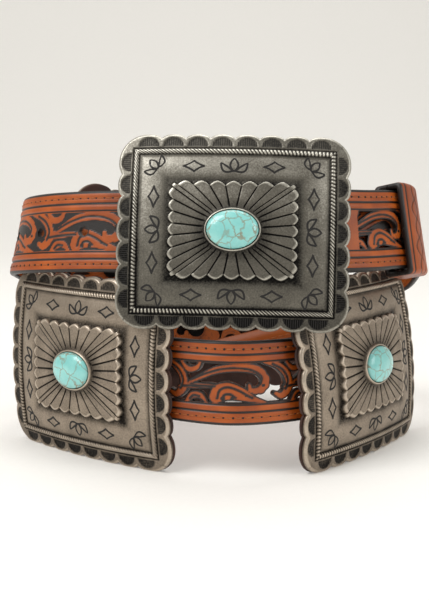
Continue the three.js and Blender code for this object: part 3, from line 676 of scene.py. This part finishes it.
def inside_rim(place):
    size = np.abs(place)
    beyond = (size - rope_half)[::-1]
    swell = scallop_depth * np.sqrt(np.clip(1 - along_scallop(place) ** 2, 0, 1))
    in_row = (size <= rope_half - scallop_pitch / 2) & (beyond <= scallop_foot + swell)
    return in_row.any(axis=0) | (np.hypot(*(size - plate_half + corner_lobe)) <= corner_lobe)


def half_moon(place):
    """Depth share of the half-moon in each scallop, and of its border."""
    size = np.abs(place)
    beyond = (size - rope_half)[::-1] - moon_foot
    on_top = (beyond[0] > beyond[1]) & (size[0] < rope_half[0])
    on_side = ~on_top & (size[1] < rope_half[1])
    x, y = (np.where(on_top, *rows_of) for rows_of in (along_scallop(place), beyond))
    radius = np.hypot(x / moon_half, np.clip(y, 0, None) / moon_rise)
    return (on_top | on_side) * smooth_step(y, 0.0, 0.35) * (1 - smooth_step(radius, 0.9, 1.02))


def moulding_height(place):
    """The frame round the raised panel, highest midway between the panel's foot and the rope."""
    share = (np.abs(place) - panel_half) / (rope_half - rope_reach - panel_half)
    share = np.clip(np.max(share, axis=0), 0, 1)
    return moulding_rise * np.sin(math.pi * share) ** 0.8 - 0.3 * share


print("scallops", scallop_pitch.ravel().round(1), "mm apart")


# %% The net of one plate
def perimeter(top_count=228, side_count=180):
    """Places all round a rectangle from -1 to 1, and the distance run along the rope line."""
    side = np.linspace(-1, 1, side_count, endpoint=False)
    top = np.linspace(1, -1, top_count, endpoint=False)
    right, upper = np.stack([side**0, side]), np.stack([top, top**0])
    run_length = np.tile(np.append(side * rope_half[1], top * rope_half[0]), 2)
    return np.hstack([right, upper, -right, -upper]), run_length


def plate_net():
    """Rings of points across, up and out of the plate, each with its wear."""
    way, along = perimeter()
    on_side = np.abs(way[0]) == 1
    edge_place = np.where(on_side, way[1], way[0])
    facing = np.sign(way) * [on_side, ~on_side]
    rings = []

    def add(place, height, wear):
        rings.append(np.stack(np.broadcast_arrays(*place, height, wear)))

    round_way, seat_half = way / np.hypot(*way), bezel_half - bezel_wall
    for share in (0.1, 0.6, 1.0):
        add(round_way * seat_half * share, seat_height, 0.15)
    for out, rise, wear in (
        (0, -0.1, 0.3), (0.18, 0, 0.75), (0.45, -0.05, 0.85), (0.7, -0.3, 0.7), (0.85, -0.8, 0.4),
        (1.0, -1.3, 0.15), (1.3, -1.5, 0.15),
    ):
        add(round_way * (seat_half + out), panel_rise + bezel_rise + rise, wear)
    start = round_way * (bezel_half + 1.4)
    across_flute = (edge_place * 4 - np.round(edge_place * 4)) * 2
    notch = 2.0 * np.abs(across_flute) ** 1.7
    half_here = np.where(on_side, panel_half[1], panel_half[0])
    near_corner = np.clip(1 - (1 - np.abs(edge_place)) * half_here / 3.2, 0, 1) ** 1.5 * 1.7
    tip = way * panel_half - facing * notch - np.sign(way) * near_corner
    for share in (0.04, 0.1, 0.2, 0.35, 0.5, 0.65, 0.78, 0.86, 0.91, 0.95, 0.98, 1.0):
        from_groove = (1 - np.abs(across_flute)) * half_here / 8 * (0.42 + 0.58 * share)
        groove = np.exp(-(from_groove / 0.3) ** 2) * (1 - smooth_step(share, 0.95, 1.0) * 0.5)
        crown = 0.16 * (1 - across_flute**2) * share
        lip = 0.22 * smooth_step(share, 0.9, 0.95) - 0.3 * smooth_step(share, 0.97, 1.0)
        wear = 0.26 + 0.2 * smooth_step(share, 0.0, 0.4) + 0.34 * smooth_step(share, 0.92, 0.95)
        add(start + (tip - start) * share, panel_rise + crown + lip - 0.5 * groove, wear - 0.85 * groove)
    for push, height, wear in ((0.21, 1.2, 0.25), (0.35, 0.15, 0.05)):
        add(tip + facing * push, height, wear)
    for share in (0.05, 0.12, 0.2, 0.32, 0.45, 0.6, 0.74, 0.86, 0.94):
        place = way * (panel_half + share * (rope_half - rope_reach - panel_half))
        wear = 0.14 + 0.36 * smooth_step(share, 0.0, 0.3) - 0.34 * smooth_step(share, 0.84, 1.0)
        add(place, moulding_height(place), wear)
    for d in (-1.3, -0.95, -0.65, -0.3, 0.05, 0.4, 0.7, 1.0, 1.3):
        round_height = rope_radius * np.sqrt(np.clip(1 - (d / 1.12) ** 2, 0, 1))
        strand = np.abs(np.cos(math.pi * (along / rope_pitch + d * 0.55)))
        height = -0.35 + (round_height + 0.35) * (0.4 + 0.6 * strand ** 0.7) if abs(d) < 1.2 else -0.4
        add(way * (rope_half + d), height, 1.15 * strand ** 2 * round_height / rope_radius)
    foot = way * (rope_half + rope_reach)
    half = np.where(on_side, rope_half[1], rope_half[0])
    fan = np.clip((np.abs(edge_place) * half - half + 8) / 8, 0, 1)
    direction = np.sign(way) * np.where([on_side, ~on_side], 1, fan)
    direction /= np.hypot(*direction)
    low, high = np.zeros(way.shape[1]), np.full(way.shape[1], 14.0)
    for _ in range(24):
        middle = (low + high) / 2
        within = inside_rim(foot + direction * middle)
        low, high = np.where(within, middle, low), np.where(within, high, middle)
    for share in (0.06, 0.13, 0.2, 0.28, 0.38, 0.48, 0.58, 0.67, 0.75, 0.82, 0.88, 0.94, 0.98, 1.0):
        place = foot + direction * low * share
        from_foot, from_edge, moon = share * low, (1 - share) * low, half_moon(place)
        height = -0.25 + 0.45 * smooth_step(from_foot, 0.2, 0.9) - 0.55 * moon
        height = height - 0.75 * (1 - smooth_step(from_edge, 0.0, 0.6))
        wear = 0.42 + 0.35 * (1 - smooth_step(from_edge, 0.6, 1.3)) - 0.3 * moon
        between = (1 - smooth_step(low, 4.0, 4.8)) * (from_edge < 1.2)
        add(place, height, wear * smooth_step(from_foot, 0.0, 1.0) - 0.35 * between)
    add(place, -1.0, 0.5)
    for share in (1.0, 0.97, 0.6, 0.1):
        add(place * share, -plate_thickness, 0.35)
    return np.stack(rings)


net = plate_net()
net[:, 2] -= dome_drop(net[:, :2])
net[:3, 2] = seat_height
print("rings in a plate:", net.shape[0], "points in a ring:", net.shape[2])


def in_plate(plate, local):
    """Points given across, up and out of a plate, in belt millimetres."""
    local = np.asarray(local, float)
    basis = np.stack([plate["across"], plate["up"], plate["normal"]])
    return plate["centre"] + local @ basis


def net_piece(name, plate, rings, **painted):
    local = np.moveaxis(rings[:, :3], 1, 2).reshape(-1, 3)
    return make_piece(name, in_plate(plate, local), tube_faces(len(rings), rings.shape[2]), **painted)


# %% [markdown]
# ## Stamped lines
# Between rope and panel the founder's pattern has stamped stars and three-leaf sprigs, and each
# half-moon is filled with fine lines. These lines are narrower than the net's points, so they
# are laid on as narrow ribbons of the black oxide that fills them.


# %% Ribbons of oxide
def front_height(place):
    """The plate's face between the panel and the rim."""
    on_rim = np.max(np.abs(place) - rope_half, axis=0) > rope_reach
    return np.where(on_rim, 0.2 - 0.55 * half_moon(place), moulding_height(place)) - dome_drop(place)


def star(cx, cy, long_x, long_y):
    turns = np.linspace(0, 2 * math.pi, 33)
    wave = np.stack([np.cos(turns), np.sin(turns)], axis=1)
    return (cx, cy) + np.sign(wave) * np.abs(wave) ** 2.5 * (long_x, long_y)


def sprig(cx, cy, angle, size):
    """Three pointed leaves that spread from one foot."""
    lines = []
    for spread, length, width, curl in ((0, 7.0, 1.7, 0), (56, 7.4, 1.25, -1.0), (-56, 7.4, 1.25, 1.0)):
        share = np.concatenate([np.linspace(0, 1, 12), np.linspace(1, 0, 12)])
        side_of = np.repeat([1, -1], 12)
        along = (0.18 + 0.82 * share) * length
        off = side_of * width * np.sin(math.pi * share) ** 0.9 + curl * 4 * (share - 0.5) ** 2
        c, s = cos_sin(angle + spread)
        lines.append((cx, cy) + size * np.stack([along * c - off * s, along * s + off * c], axis=1))
    return lines


stamps = []
for sx in (1, -1):
    for sy in (1, -1):
        stamps += [star(sx * 17.8, sy * 28.6, 4.8, 2.5), star(sx * 35.4, sy * 14.7, 2.5, 4.8)]
        stamps += sprig(sx * 33.0, sy * 26.6, math.degrees(math.atan2(sy, sx)), 0.95)
    stamps += sprig(sx * 31.6, 0, 90 - 90 * sx, 1.05) + sprig(0, sx * 24.9, 90 * sx, 1.05)
moon_lines = []
for side, flip in ((0, 1), (1, -1)):
    half, other, pitch = rope_half[side, 0], rope_half[1 - side, 0], scallop_pitch[side, 0]
    for k in range(scallops[side, 0]):
        for step in np.linspace(-0.72, 0.72, 9):
            x = -half + pitch * (k + 0.5 + step / 2)
            top = moon_rise * math.sqrt(1 - (step / moon_half) ** 2) * 0.92
            for sign in (1, -1):
                ends = np.array([(x, sign * (other + 2.5)), (x, sign * (other + moon_foot + top))])
                moon_lines.append(ends[:, ::flip])


def ribbons(lines, width, first=0):
    """Narrow strips that lie just over the plate's face along each line."""
    points, faces = [], []
    for line in lines:
        step = np.gradient(line, axis=0)
        sideways = np.stack([-step[:, 1], step[:, 0]], axis=1)
        sideways *= width / 2 / np.maximum(np.hypot(*step.T), 1e-6)[:, None]
        start = first + sum(len(part) for part in points)
        place = np.stack([line + sideways, line - sideways], axis=1).reshape(-1, 2)
        points.append(np.column_stack([place, np.repeat(front_height(line.T) + 0.05, 2)]))
        faces += [[start + 2 * i + k for k in (0, 1, 3, 2)] for i in range(len(line) - 1)]
    return np.vstack(points), faces


stamp_points, stamp_faces = ribbons(stamps, 0.9)
moon_points, moon_faces = ribbons(moon_lines, 0.3, first=len(stamp_points))
oxide_points, oxide_faces = np.vstack([stamp_points, moon_points]), stamp_faces + moon_faces
print("oxide ribbons:", len(stamps) + len(moon_lines))

# %% [markdown]
# ## Placing plates, backings, stones and screws
# Each concho is screwed to the strap through a dark leather backing with the same scalloped
# outline. The stones are low domes, called cabochons, set in a plain bezel. The screw heads
# show on the strap's lining.

# %% Plates on the belt
backing_gap, backing_thickness, seat_gap = 0.7, 1.6, 0.35
screw_from_centre = 21.0
stone_half, stone_rise = pair(11.4, 8.5), 3.9
standoff = dome_drop(pair(plate_half_width, half_width))[0] + plate_thickness
standoff += backing_thickness + backing_gap + seat_gap + half_strap
plates = {"buckle": buckle}
for name, s in seat_at.items():
    point, along, up, out = (part[0] for part in run.frames(np.array([s])))
    plates[name] = {"centre": point + out * standoff, "across": along, "up": up, "normal": out}


def stone_rings():
    way, _ = perimeter(20, 16)
    rings = []
    for share, height in (
        (0.3, 0), (1, 0), (1, 0.22), (0.985, 0.34), (0.95, 0.46), (0.88, 0.6), (0.78, 0.72),
        (0.64, 0.84), (0.46, 0.93), (0.25, 0.985), (0.06, 1.0),
    ):
        base = np.full(way.shape[1], panel_rise + bezel_rise - 0.9 + stone_rise * height)
        rings.append(np.vstack([way / np.hypot(*way) * stone_half * share, base]))
    return np.stack(rings)


def screw_rings():
    turns = np.arange(40) / 40 * 2 * math.pi
    rings = []
    steps = ((4.4, 0), (4.5, 0.15), (4.4, 0.7), (3.8, 1.2), (2.9, 1.5), (1.6, 1.6), (0.4, 1.62))
    for radius, height in steps:
        slot = (np.abs(np.sin(turns) * radius) < 0.75) & (radius < 3.6)
        rings.append(np.stack([np.cos(turns) * radius, np.sin(turns) * radius, height - 0.9 * slot]))
    return np.stack(rings)


# The backing's steps: share of the plate's outline, and depth under the plate's back.
backing_steps = [(0.3, 1.6), (0.985, 1.6), (0.998, 1.2), (1.0, 0.8), (0.998, 0.3), (0.985, 0), (0.3, 0)]
outline = net[-5, :2]
backing_rings = np.stack([
    np.vstack([outline * share, -plate_thickness - backing_gap - depth - dome_drop(outline * share)])
    for share, depth in backing_steps
])
plate_pieces = []
for name, plate in plates.items():
    metal, painted_top_light = ("buckle_metal", 0.13) if name == "buckle" else ("concho_metal", 0.05)
    # Painted light: each plate's wear rises towards its top, so the top reads brighter and the bottom
    # darker, as if lit from above; the buckle gets more of it.
    wear = net[:, 3] + painted_top_light * net[:, 1] / plate_half_height
    body = net_piece(f"{name}_casting", plate, net[:, :3], wear=wear.ravel())
    body.data.flip_normals()
    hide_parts(f"{name}_plate")
    oxide = make_piece(f"{name}_oxide_lines", in_plate(plate, oxide_points), oxide_faces, smooth=False)
    stone = net_piece(f"{name}_cabochon", plate, stone_rings())
    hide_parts(f"{name}_stone")
    plate_pieces += [(body, metal, metal), (oxide, "oxide", metal), (stone, "stone", "stone")]
    if name == "buckle":
        continue
    backing = net_piece(f"{name}_leather_backing", plate, backing_rings)
    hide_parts(f"{name}_backing")
    plate_pieces.append((backing, "backing_leather", "backing_leather"))
    for letter, across in (("a", -screw_from_centre), ("b", screw_from_centre)):
        lining_side = in_plate(plate, (across, 0, -standoff - half_strap - 0.3))
        seat = {**plate, "centre": lining_side, "normal": -plate["normal"], "up": -plate["up"]}
        screw = net_piece(f"{name}_screw_head_{letter}", seat, screw_rings())
        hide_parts(f"{name}_screw_{letter}")
        plate_pieces.append((screw, "screw_metal", "screw_metal"))

# %% [markdown]
# ## The buckle's fittings
# Behind the buckle a round hook catches a hole of the billet, and a wire loop holds the fixed
# end. They are drawn wire, soldered on, so they are smooth round rods.


# %% Rods
rod_steps, rod_sides = 9, 16


def rod(start, end, radius):
    """Points of a straight round rod in the buckle, a little narrower at its two ends."""
    points = np.linspace(start, end, rod_steps)
    along = unit(points[-1] - points[0])
    helper = np.array([0.0, 0.0, 1.0] if abs(along[2]) < 0.9 else [1.0, 0.0, 0.0])
    first = unit(np.cross(along, helper))
    turns = np.arange(rod_sides) / rod_sides * 2 * math.pi
    ring = np.outer(np.cos(turns), first) + np.outer(np.sin(turns), np.cross(along, first))
    size = np.full(rod_steps, radius)
    size[[0, -1]] *= 0.6
    return in_plate(buckle, (points[:, None] + ring * size[:, None, None]).reshape(-1, 3))


hook_past_strap, hook_radius = 2.5, 1.6
bar_end_space, loop_foot = 2.4, -2.6
hook_place = run.frames(np.array([hook_at]))[0][0] - buckle["centre"]
hook_u, hook_v = hook_place @ buckle["across"], hook_place @ buckle["up"]
hook_depth = half_strap + hook_past_strap - hook_place @ buckle["normal"]
leg_reach = half_width + bar_end_space
low, high = strap_above_buckle - leg_reach, strap_above_buckle + leg_reach
corners = [(low, loop_foot), (low, -bar_depth), (high, -bar_depth), (high, loop_foot)]
loop = [(bar_from_centre, v, depth) for v, depth in corners]
rods = [rod((hook_u, hook_v, -plate_thickness + 0.2), (hook_u, hook_v, -hook_depth), hook_radius)]
rods += [rod(loop[k], loop[k + 1], bar_diameter / 2) for k in range(3)]
faces = [
    [v + k * rod_steps * rod_sides for v in face]
    for k in range(len(rods)) for face in tube_faces(rod_steps, rod_sides)
]
fittings = make_piece("buckle_hook_and_bar", np.vstack(rods), faces)

# %% [markdown]
# ## Finishes
# Each finish is a small network of nodes on one Principled shader. Colours are written as the
# sRGB hex values that a paint chart gives and are turned to the linear values that light needs.
# Scales come from real sizes: a pattern that repeats every g millimetres has scale 1000 / g.


# %% Helpers for finishes
def srgb(code):
    """Linear colour from an sRGB hex code."""
    parts = [int(code[i:i + 2], 16) / 255 for i in (1, 3, 5)]
    return [p / 12.92 if p <= 0.04045 else ((p + 0.055) / 1.055) ** 2.4 for p in parts] + [1.0]


def per_metre(millimetres):
    return 1000 / millimetres


def add_node(material, kind, inputs, output=0, **settings):
    """Adds a node with its settings, values and links, and gives back one of its outputs."""
    node = material.node_tree.nodes.new("ShaderNode" + kind)
    for label, value in settings.items():
        setattr(node, label, value)
    for socket, value in inputs.items():
        if isinstance(value, bpy.types.NodeSocket):
            material.node_tree.links.new(value, node.inputs[socket])
        else:
            node.inputs[socket].default_value = value
    return node.outputs[output]


def link(material, source, target):
    material.node_tree.links.new(source, target)


def new_finish(name):
    """A material, its shader, and the place on the object in metres."""
    material = bpy.data.materials.new(name)
    material.use_nodes = True
    place = add_node(material, "TexCoord", {}, "Object")
    return material, material.node_tree.nodes["Principled BSDF"], place


def two_tone_finish(name, dark, light, grain, roughness):
    """Two close tones in soft specks of about the grain's size."""
    material, shader, place = new_finish(name)
    specks = add_node(material, "TexNoise", {"Vector": place, "Scale": per_metre(grain), "Detail": 2.0})
    tone = add_node(material, "Mix", {0: specks, 6: srgb(dark), 7: srgb(light)}, 2, data_type="RGBA")
    link(material, tone, shader.inputs["Base Color"])
    shader.inputs["Roughness"].default_value = roughness
    return material, shader


print("white in linear light:", srgb("#ffffff"))

# %% [markdown]
# ### Bridle leather, vegetable tanned, dyed orange and antiqued
# Antique stain is wiped over the carved leather and stays in the cuts, so the cuts are nearly
# black while the high leather keeps its warm orange. The hair side shows a fine pebble grain of
# about half a millimetre, and a waxy shine that is a little uneven.


# %% Leather finishes
def leather_finish(name, high, low, stain, lining, grain=0.55, shine=0.42, coat=0.12):
    leather, shader, place = new_finish(name)
    clouds = add_node(leather, "TexNoise", {"Vector": place, "Scale": per_metre(14), "Detail": 4.0})
    pebble = add_node(leather, "TexVoronoi", {"Vector": place, "Scale": per_metre(grain)})
    fibres = add_node(leather, "TexNoise", {"Vector": place, "Scale": per_metre(grain / 2), "Detail": 3.0})
    patch = add_node(leather, "MapRange", {"Value": clouds, "From Min": 0.35, "From Max": 0.68})
    base = add_node(leather, "Mix", {0: patch, 6: srgb(low), 7: srgb(high)}, 2, data_type="RGBA")
    inside = add_node(leather, "Attribute", {}, "Fac", attribute_name="lining")
    lined = add_node(leather, "Mix", {0: inside, 6: base, 7: srgb(lining)}, 2, data_type="RGBA")
    painted = add_node(leather, "Attribute", {}, "Fac", attribute_name="ink")
    speckle = add_node(leather, "Math", {0: fibres, 1: 0.22}, operation="MULTIPLY")
    ragged = add_node(leather, "Math", {0: painted, 1: speckle}, operation="ADD")
    amount = add_node(leather, "MapRange", {"Value": ragged, "From Min": 0.22, "From Max": 0.75})
    stained = add_node(leather, "Mix", {0: amount, 6: lined, 7: srgb(stain)}, 2, data_type="RGBA")
    grain_height = add_node(leather, "Math", {0: pebble, 1: fibres}, operation="ADD")
    bump = add_node(leather, "Bump", {"Height": grain_height, "Strength": 0.22, "Distance": 0.0002})
    rough = add_node(leather, "MapRange", {"Value": fibres, "To Min": shine - 0.08, "To Max": shine + 0.14})
    link(leather, stained, shader.inputs["Base Color"])
    link(leather, rough, shader.inputs["Roughness"])
    link(leather, bump, shader.inputs["Normal"])
    shader.inputs["IOR"].default_value = 1.48
    shader.inputs["Coat Weight"].default_value = coat
    shader.inputs["Coat Roughness"].default_value = 0.35
    return leather


strap_leather = leather_finish("bridle_leather_antiqued_orange", "#b4550a", "#903e06", "#1b1411", "#9c4c0c")
keeper_leather = leather_finish("keeper_leather_antiqued_orange", "#a84d0a", "#843706", "#1b1411", "#8c420b")
backing_leather = leather_finish(
    "backing_leather_dark_brown", "#46291f", "#2f1b15", "#1b1311", "#46291f", grain=0.9, shine=0.6, coat=0.0,
)
print("leather finishes ready")

# %% [markdown]
# ### Cast zinc alloy with antique silver plating
# The plates are plated, blackened with oxide and then polished, so high places are bright and
# low places stay dark. The wear value painted on the points drives that. On the plates it also
# carries painted light: it rises towards each plate's top, so the top is brighter and the bottom
# darker, as if lit from above. The cast skin is slightly grainy, which breaks the reflections up
# into a soft satin.


# %% Metal finishes
def cast_finish(name, bright, middle, dark):
    metal, shader, place = new_finish(name)
    skin = add_node(metal, "TexNoise", {"Vector": place, "Scale": per_metre(0.7), "Detail": 3.0})
    clouds = add_node(metal, "TexNoise", {"Vector": place, "Scale": per_metre(9), "Detail": 5.0})
    # The wear value is the real polish on high places, plus on the plates a painted top light.
    amount = add_node(metal, "Attribute", {}, "Fac", attribute_name="wear")
    for pattern, reach in ((clouds, 0.07), (skin, 0.09)):
        limits = {"From Min": 0.3, "From Max": 0.7, "To Min": -reach, "To Max": reach}
        uneven = add_node(metal, "MapRange", {"Value": pattern, **limits})
        amount = add_node(metal, "Math", {0: amount, 1: uneven}, operation="ADD")
    colour = srgb(dark)
    for tone, start, end in ((middle, 0.05, 0.5), (bright, 0.5, 1.0)):
        share = add_node(metal, "MapRange", {"Value": amount, "From Min": start, "From Max": end})
        colour = add_node(metal, "Mix", {0: share, 6: colour, 7: srgb(tone)}, 2, data_type="RGBA")
    rough = add_node(metal, "MapRange", {"Value": amount, "To Min": 0.62, "To Max": 0.34})
    bump = add_node(metal, "Bump", {"Height": skin, "Strength": 0.25, "Distance": 0.00012})
    link(metal, colour, shader.inputs["Base Color"])
    link(metal, rough, shader.inputs["Roughness"])
    link(metal, bump, shader.inputs["Normal"])
    shader.inputs["Metallic"].default_value = 0.9
    return metal


buckle_metal = cast_finish("antique_silver_casting_buckle", "#d6d2c6", "#736f66", "#141312")
concho_metal = cast_finish("antique_silver_casting_concho", "#d2c4b3", "#9a8d7e", "#221e1a")
fitting_metal = cast_finish("plated_wire", "#c4c0b8", "#8f8a82", "#5b5650")
screw_metal = cast_finish("blackened_screw_steel", "#3a3633", "#24211f", "#151312")
print("metal finishes ready")

# %% [markdown]
# ### Black oxide, and painted shade in the stitch holes
# The oxide left in the stamped lines is a matt, slightly uneven black-brown. The same finish
# on the strap's stitch holes is painted shade.

# %% Oxide finish
black_oxide_and_hole_shade, _ = two_tone_finish("black_oxide_in_lines_and_hole_shade", "#0c0a09", "#1d1916", grain=0.8, roughness=0.7)
print("oxide ready")

# %% [markdown]
# ### Turquoise-coloured stone
# The cabochon is a polished opaque blue-green stone with a web of thin tan veins. Cells about
# 6 mm across, bent by noise, give the web: the vein lies where two cells meet.

# %% Stone finish
turquoise, shader, place = new_finish("polished_turquoise_cabochon")
bend = add_node(turquoise, "TexNoise", {"Vector": place, "Scale": per_metre(5), "Detail": 4.0}, "Color")
bent = add_node(turquoise, "VectorMath", {0: bend, 1: (0.006, 0.006, 0.006)}, operation="MULTIPLY")
moved = add_node(turquoise, "VectorMath", {0: place, 1: bent}, operation="ADD")
web = add_node(
    turquoise, "TexVoronoi", {"Vector": moved, "Scale": per_metre(6.5)}, feature="DISTANCE_TO_EDGE",
)
limits = {"From Min": 0.015, "From Max": 0.06, "To Min": 1.3, "To Max": 0.0}
veins_here = add_node(turquoise, "MapRange", {"Value": web, **limits})
clouds = add_node(turquoise, "TexNoise", {"Vector": place, "Scale": per_metre(4), "Detail": 5.0})
body_tones = {6: srgb("#70c2c0"), 7: srgb("#9edcd5")}
body_tone = add_node(turquoise, "Mix", {0: clouds, **body_tones}, 2, data_type="RGBA")
thin = add_node(turquoise, "Math", {0: veins_here, 1: clouds}, operation="MULTIPLY")
stone_tone = add_node(turquoise, "Mix", {0: thin, 6: body_tone, 7: srgb("#8a7f66")}, 2, data_type="RGBA")
link(turquoise, stone_tone, shader.inputs["Base Color"])
shader.inputs["Roughness"].default_value = 0.2
shader.inputs["IOR"].default_value = 1.61
shader.inputs["Coat Weight"].default_value = 0.3
print("stone ready")

# %% [markdown]
# ### Waxed thread
# The thread is brown, lighter where it is fresh and darker where wax and stain have rubbed in.

# %% Thread finish
thread, _ = two_tone_finish("waxed_thread", "#7d3d14", "#b9692c", grain=1.2, roughness=0.6)
print("thread ready")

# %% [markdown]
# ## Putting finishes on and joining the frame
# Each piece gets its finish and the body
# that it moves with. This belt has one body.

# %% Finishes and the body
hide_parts("strap")
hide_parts("keeper")
finishes = {
    "strap_leather": strap_leather, "keeper_leather": keeper_leather, "backing_leather": backing_leather,
    "buckle_metal": buckle_metal, "concho_metal": concho_metal, "screw_metal": screw_metal,
    "wire": fitting_metal, "stone": turquoise, "oxide": black_oxide_and_hole_shade, "thread": thread,
}
# The stitch holes take the black oxide finish as painted shade.
dressed = [(piece, "strap_leather", "strap_leather") for piece in (scroll, *borders)] + plate_pieces + [
    (stitches, "thread", "strap_leather"), (stitch_hole_shade, "oxide", "strap_leather"),
    (keeper, "keeper_leather", "keeper_leather"), (fittings, "wire", "buckle_metal"),
]
for piece, finish, slot in dressed:
    piece.data.materials.append(finishes[finish])
    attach(piece, "root")
triangles = sum(len(p.vertices) - 2 for piece, _, _ in dressed for p in piece.data.polygons)
print("pieces:", len(dressed), "triangles:", triangles)

# %% [markdown]
# ## Floor, light and camera
# The belt stands on a pale seamless floor that curves up far behind it. Three large soft lights
# and a pale surrounding give the even light of a product photograph. The camera looks down by
# 8.4 degrees from in front, as far away as the picture's perspective shows.

# %% Floor
profile = [(-1.2, 0.0), (0.9, 0.0)] + [
    (0.9 + 0.8 * math.sin(t), 0.8 - 0.8 * math.cos(t)) for t in np.linspace(0.15, math.pi / 2, 12)
] + [(1.7, 2.6)]
floor_mesh = bpy.data.meshes.new("floor")
floor_points = [(x, y, z - 0.0002) for y, z in profile for x in (-2.4, 2.4)]
floor_mesh.from_pydata(floor_points, [], [face[::-1] for face in grid_faces(len(profile), 2)])
floor_mesh.shade_smooth()
floor = bpy.data.objects.new("floor", floor_mesh)
bpy.context.scene.collection.objects.link(floor)
paper, shader = two_tone_finish("pale_backdrop_paper", "#e6e4e0", "#ebe9e5", grain=2.5, roughness=0.85)
shader.inputs["Emission Color"].default_value = srgb("#f4f2ee")
shader.inputs["Emission Strength"].default_value = 0.16
floor_mesh.materials.append(paper)

# %% Lights
bpy.context.scene.view_settings.view_transform = "Standard"
world = bpy.data.worlds.new("studio")
bpy.context.scene.world = world
world.use_nodes = True
world.node_tree.nodes["Background"].inputs["Color"].default_value = srgb("#f6f3ec")
world.node_tree.nodes["Background"].inputs["Strength"].default_value = 0.5


def soft_light(name, place, target, size, watts):
    light = bpy.data.lights.new(name, "AREA")
    light.size = size
    light.energy = watts
    lamp = bpy.data.objects.new(name, light)
    lamp.location = place
    lamp.rotation_euler = (Vector(target) - Vector(place)).to_track_quat("-Z", "Y").to_euler()
    bpy.context.scene.collection.objects.link(lamp)


soft_light("key_from_above_left", (-0.7, -0.55, 1.0), (0, 0, 0.07), 0.7, 9)
soft_light("fill_from_right", (0.95, -0.6, 0.55), (0, 0, 0.07), 0.6, 3)
soft_light("top_softbox", (0.1, 0.25, 1.3), (0, 0, 0.05), 0.9, 7)

# %% Camera
lens_length, film_width = 67.2, 36
camera_in_belt, looks_down = np.array([0, -575, 152.5]), 8.4
camera_data = bpy.data.cameras.new("camera")
camera_data.lens = lens_length
camera_data.sensor_width = film_width
camera_data.clip_end = 20
camera = bpy.data.objects.new("camera", camera_data)
camera.location = Vector(((camera_in_belt + frame_shift) / 1000).tolist())
camera.rotation_euler = (math.radians(90 - looks_down), 0, 0)
bpy.context.scene.collection.objects.link(camera)
bpy.context.scene.camera = camera
print("camera at", tuple(round(x, 3) for x in camera.location))
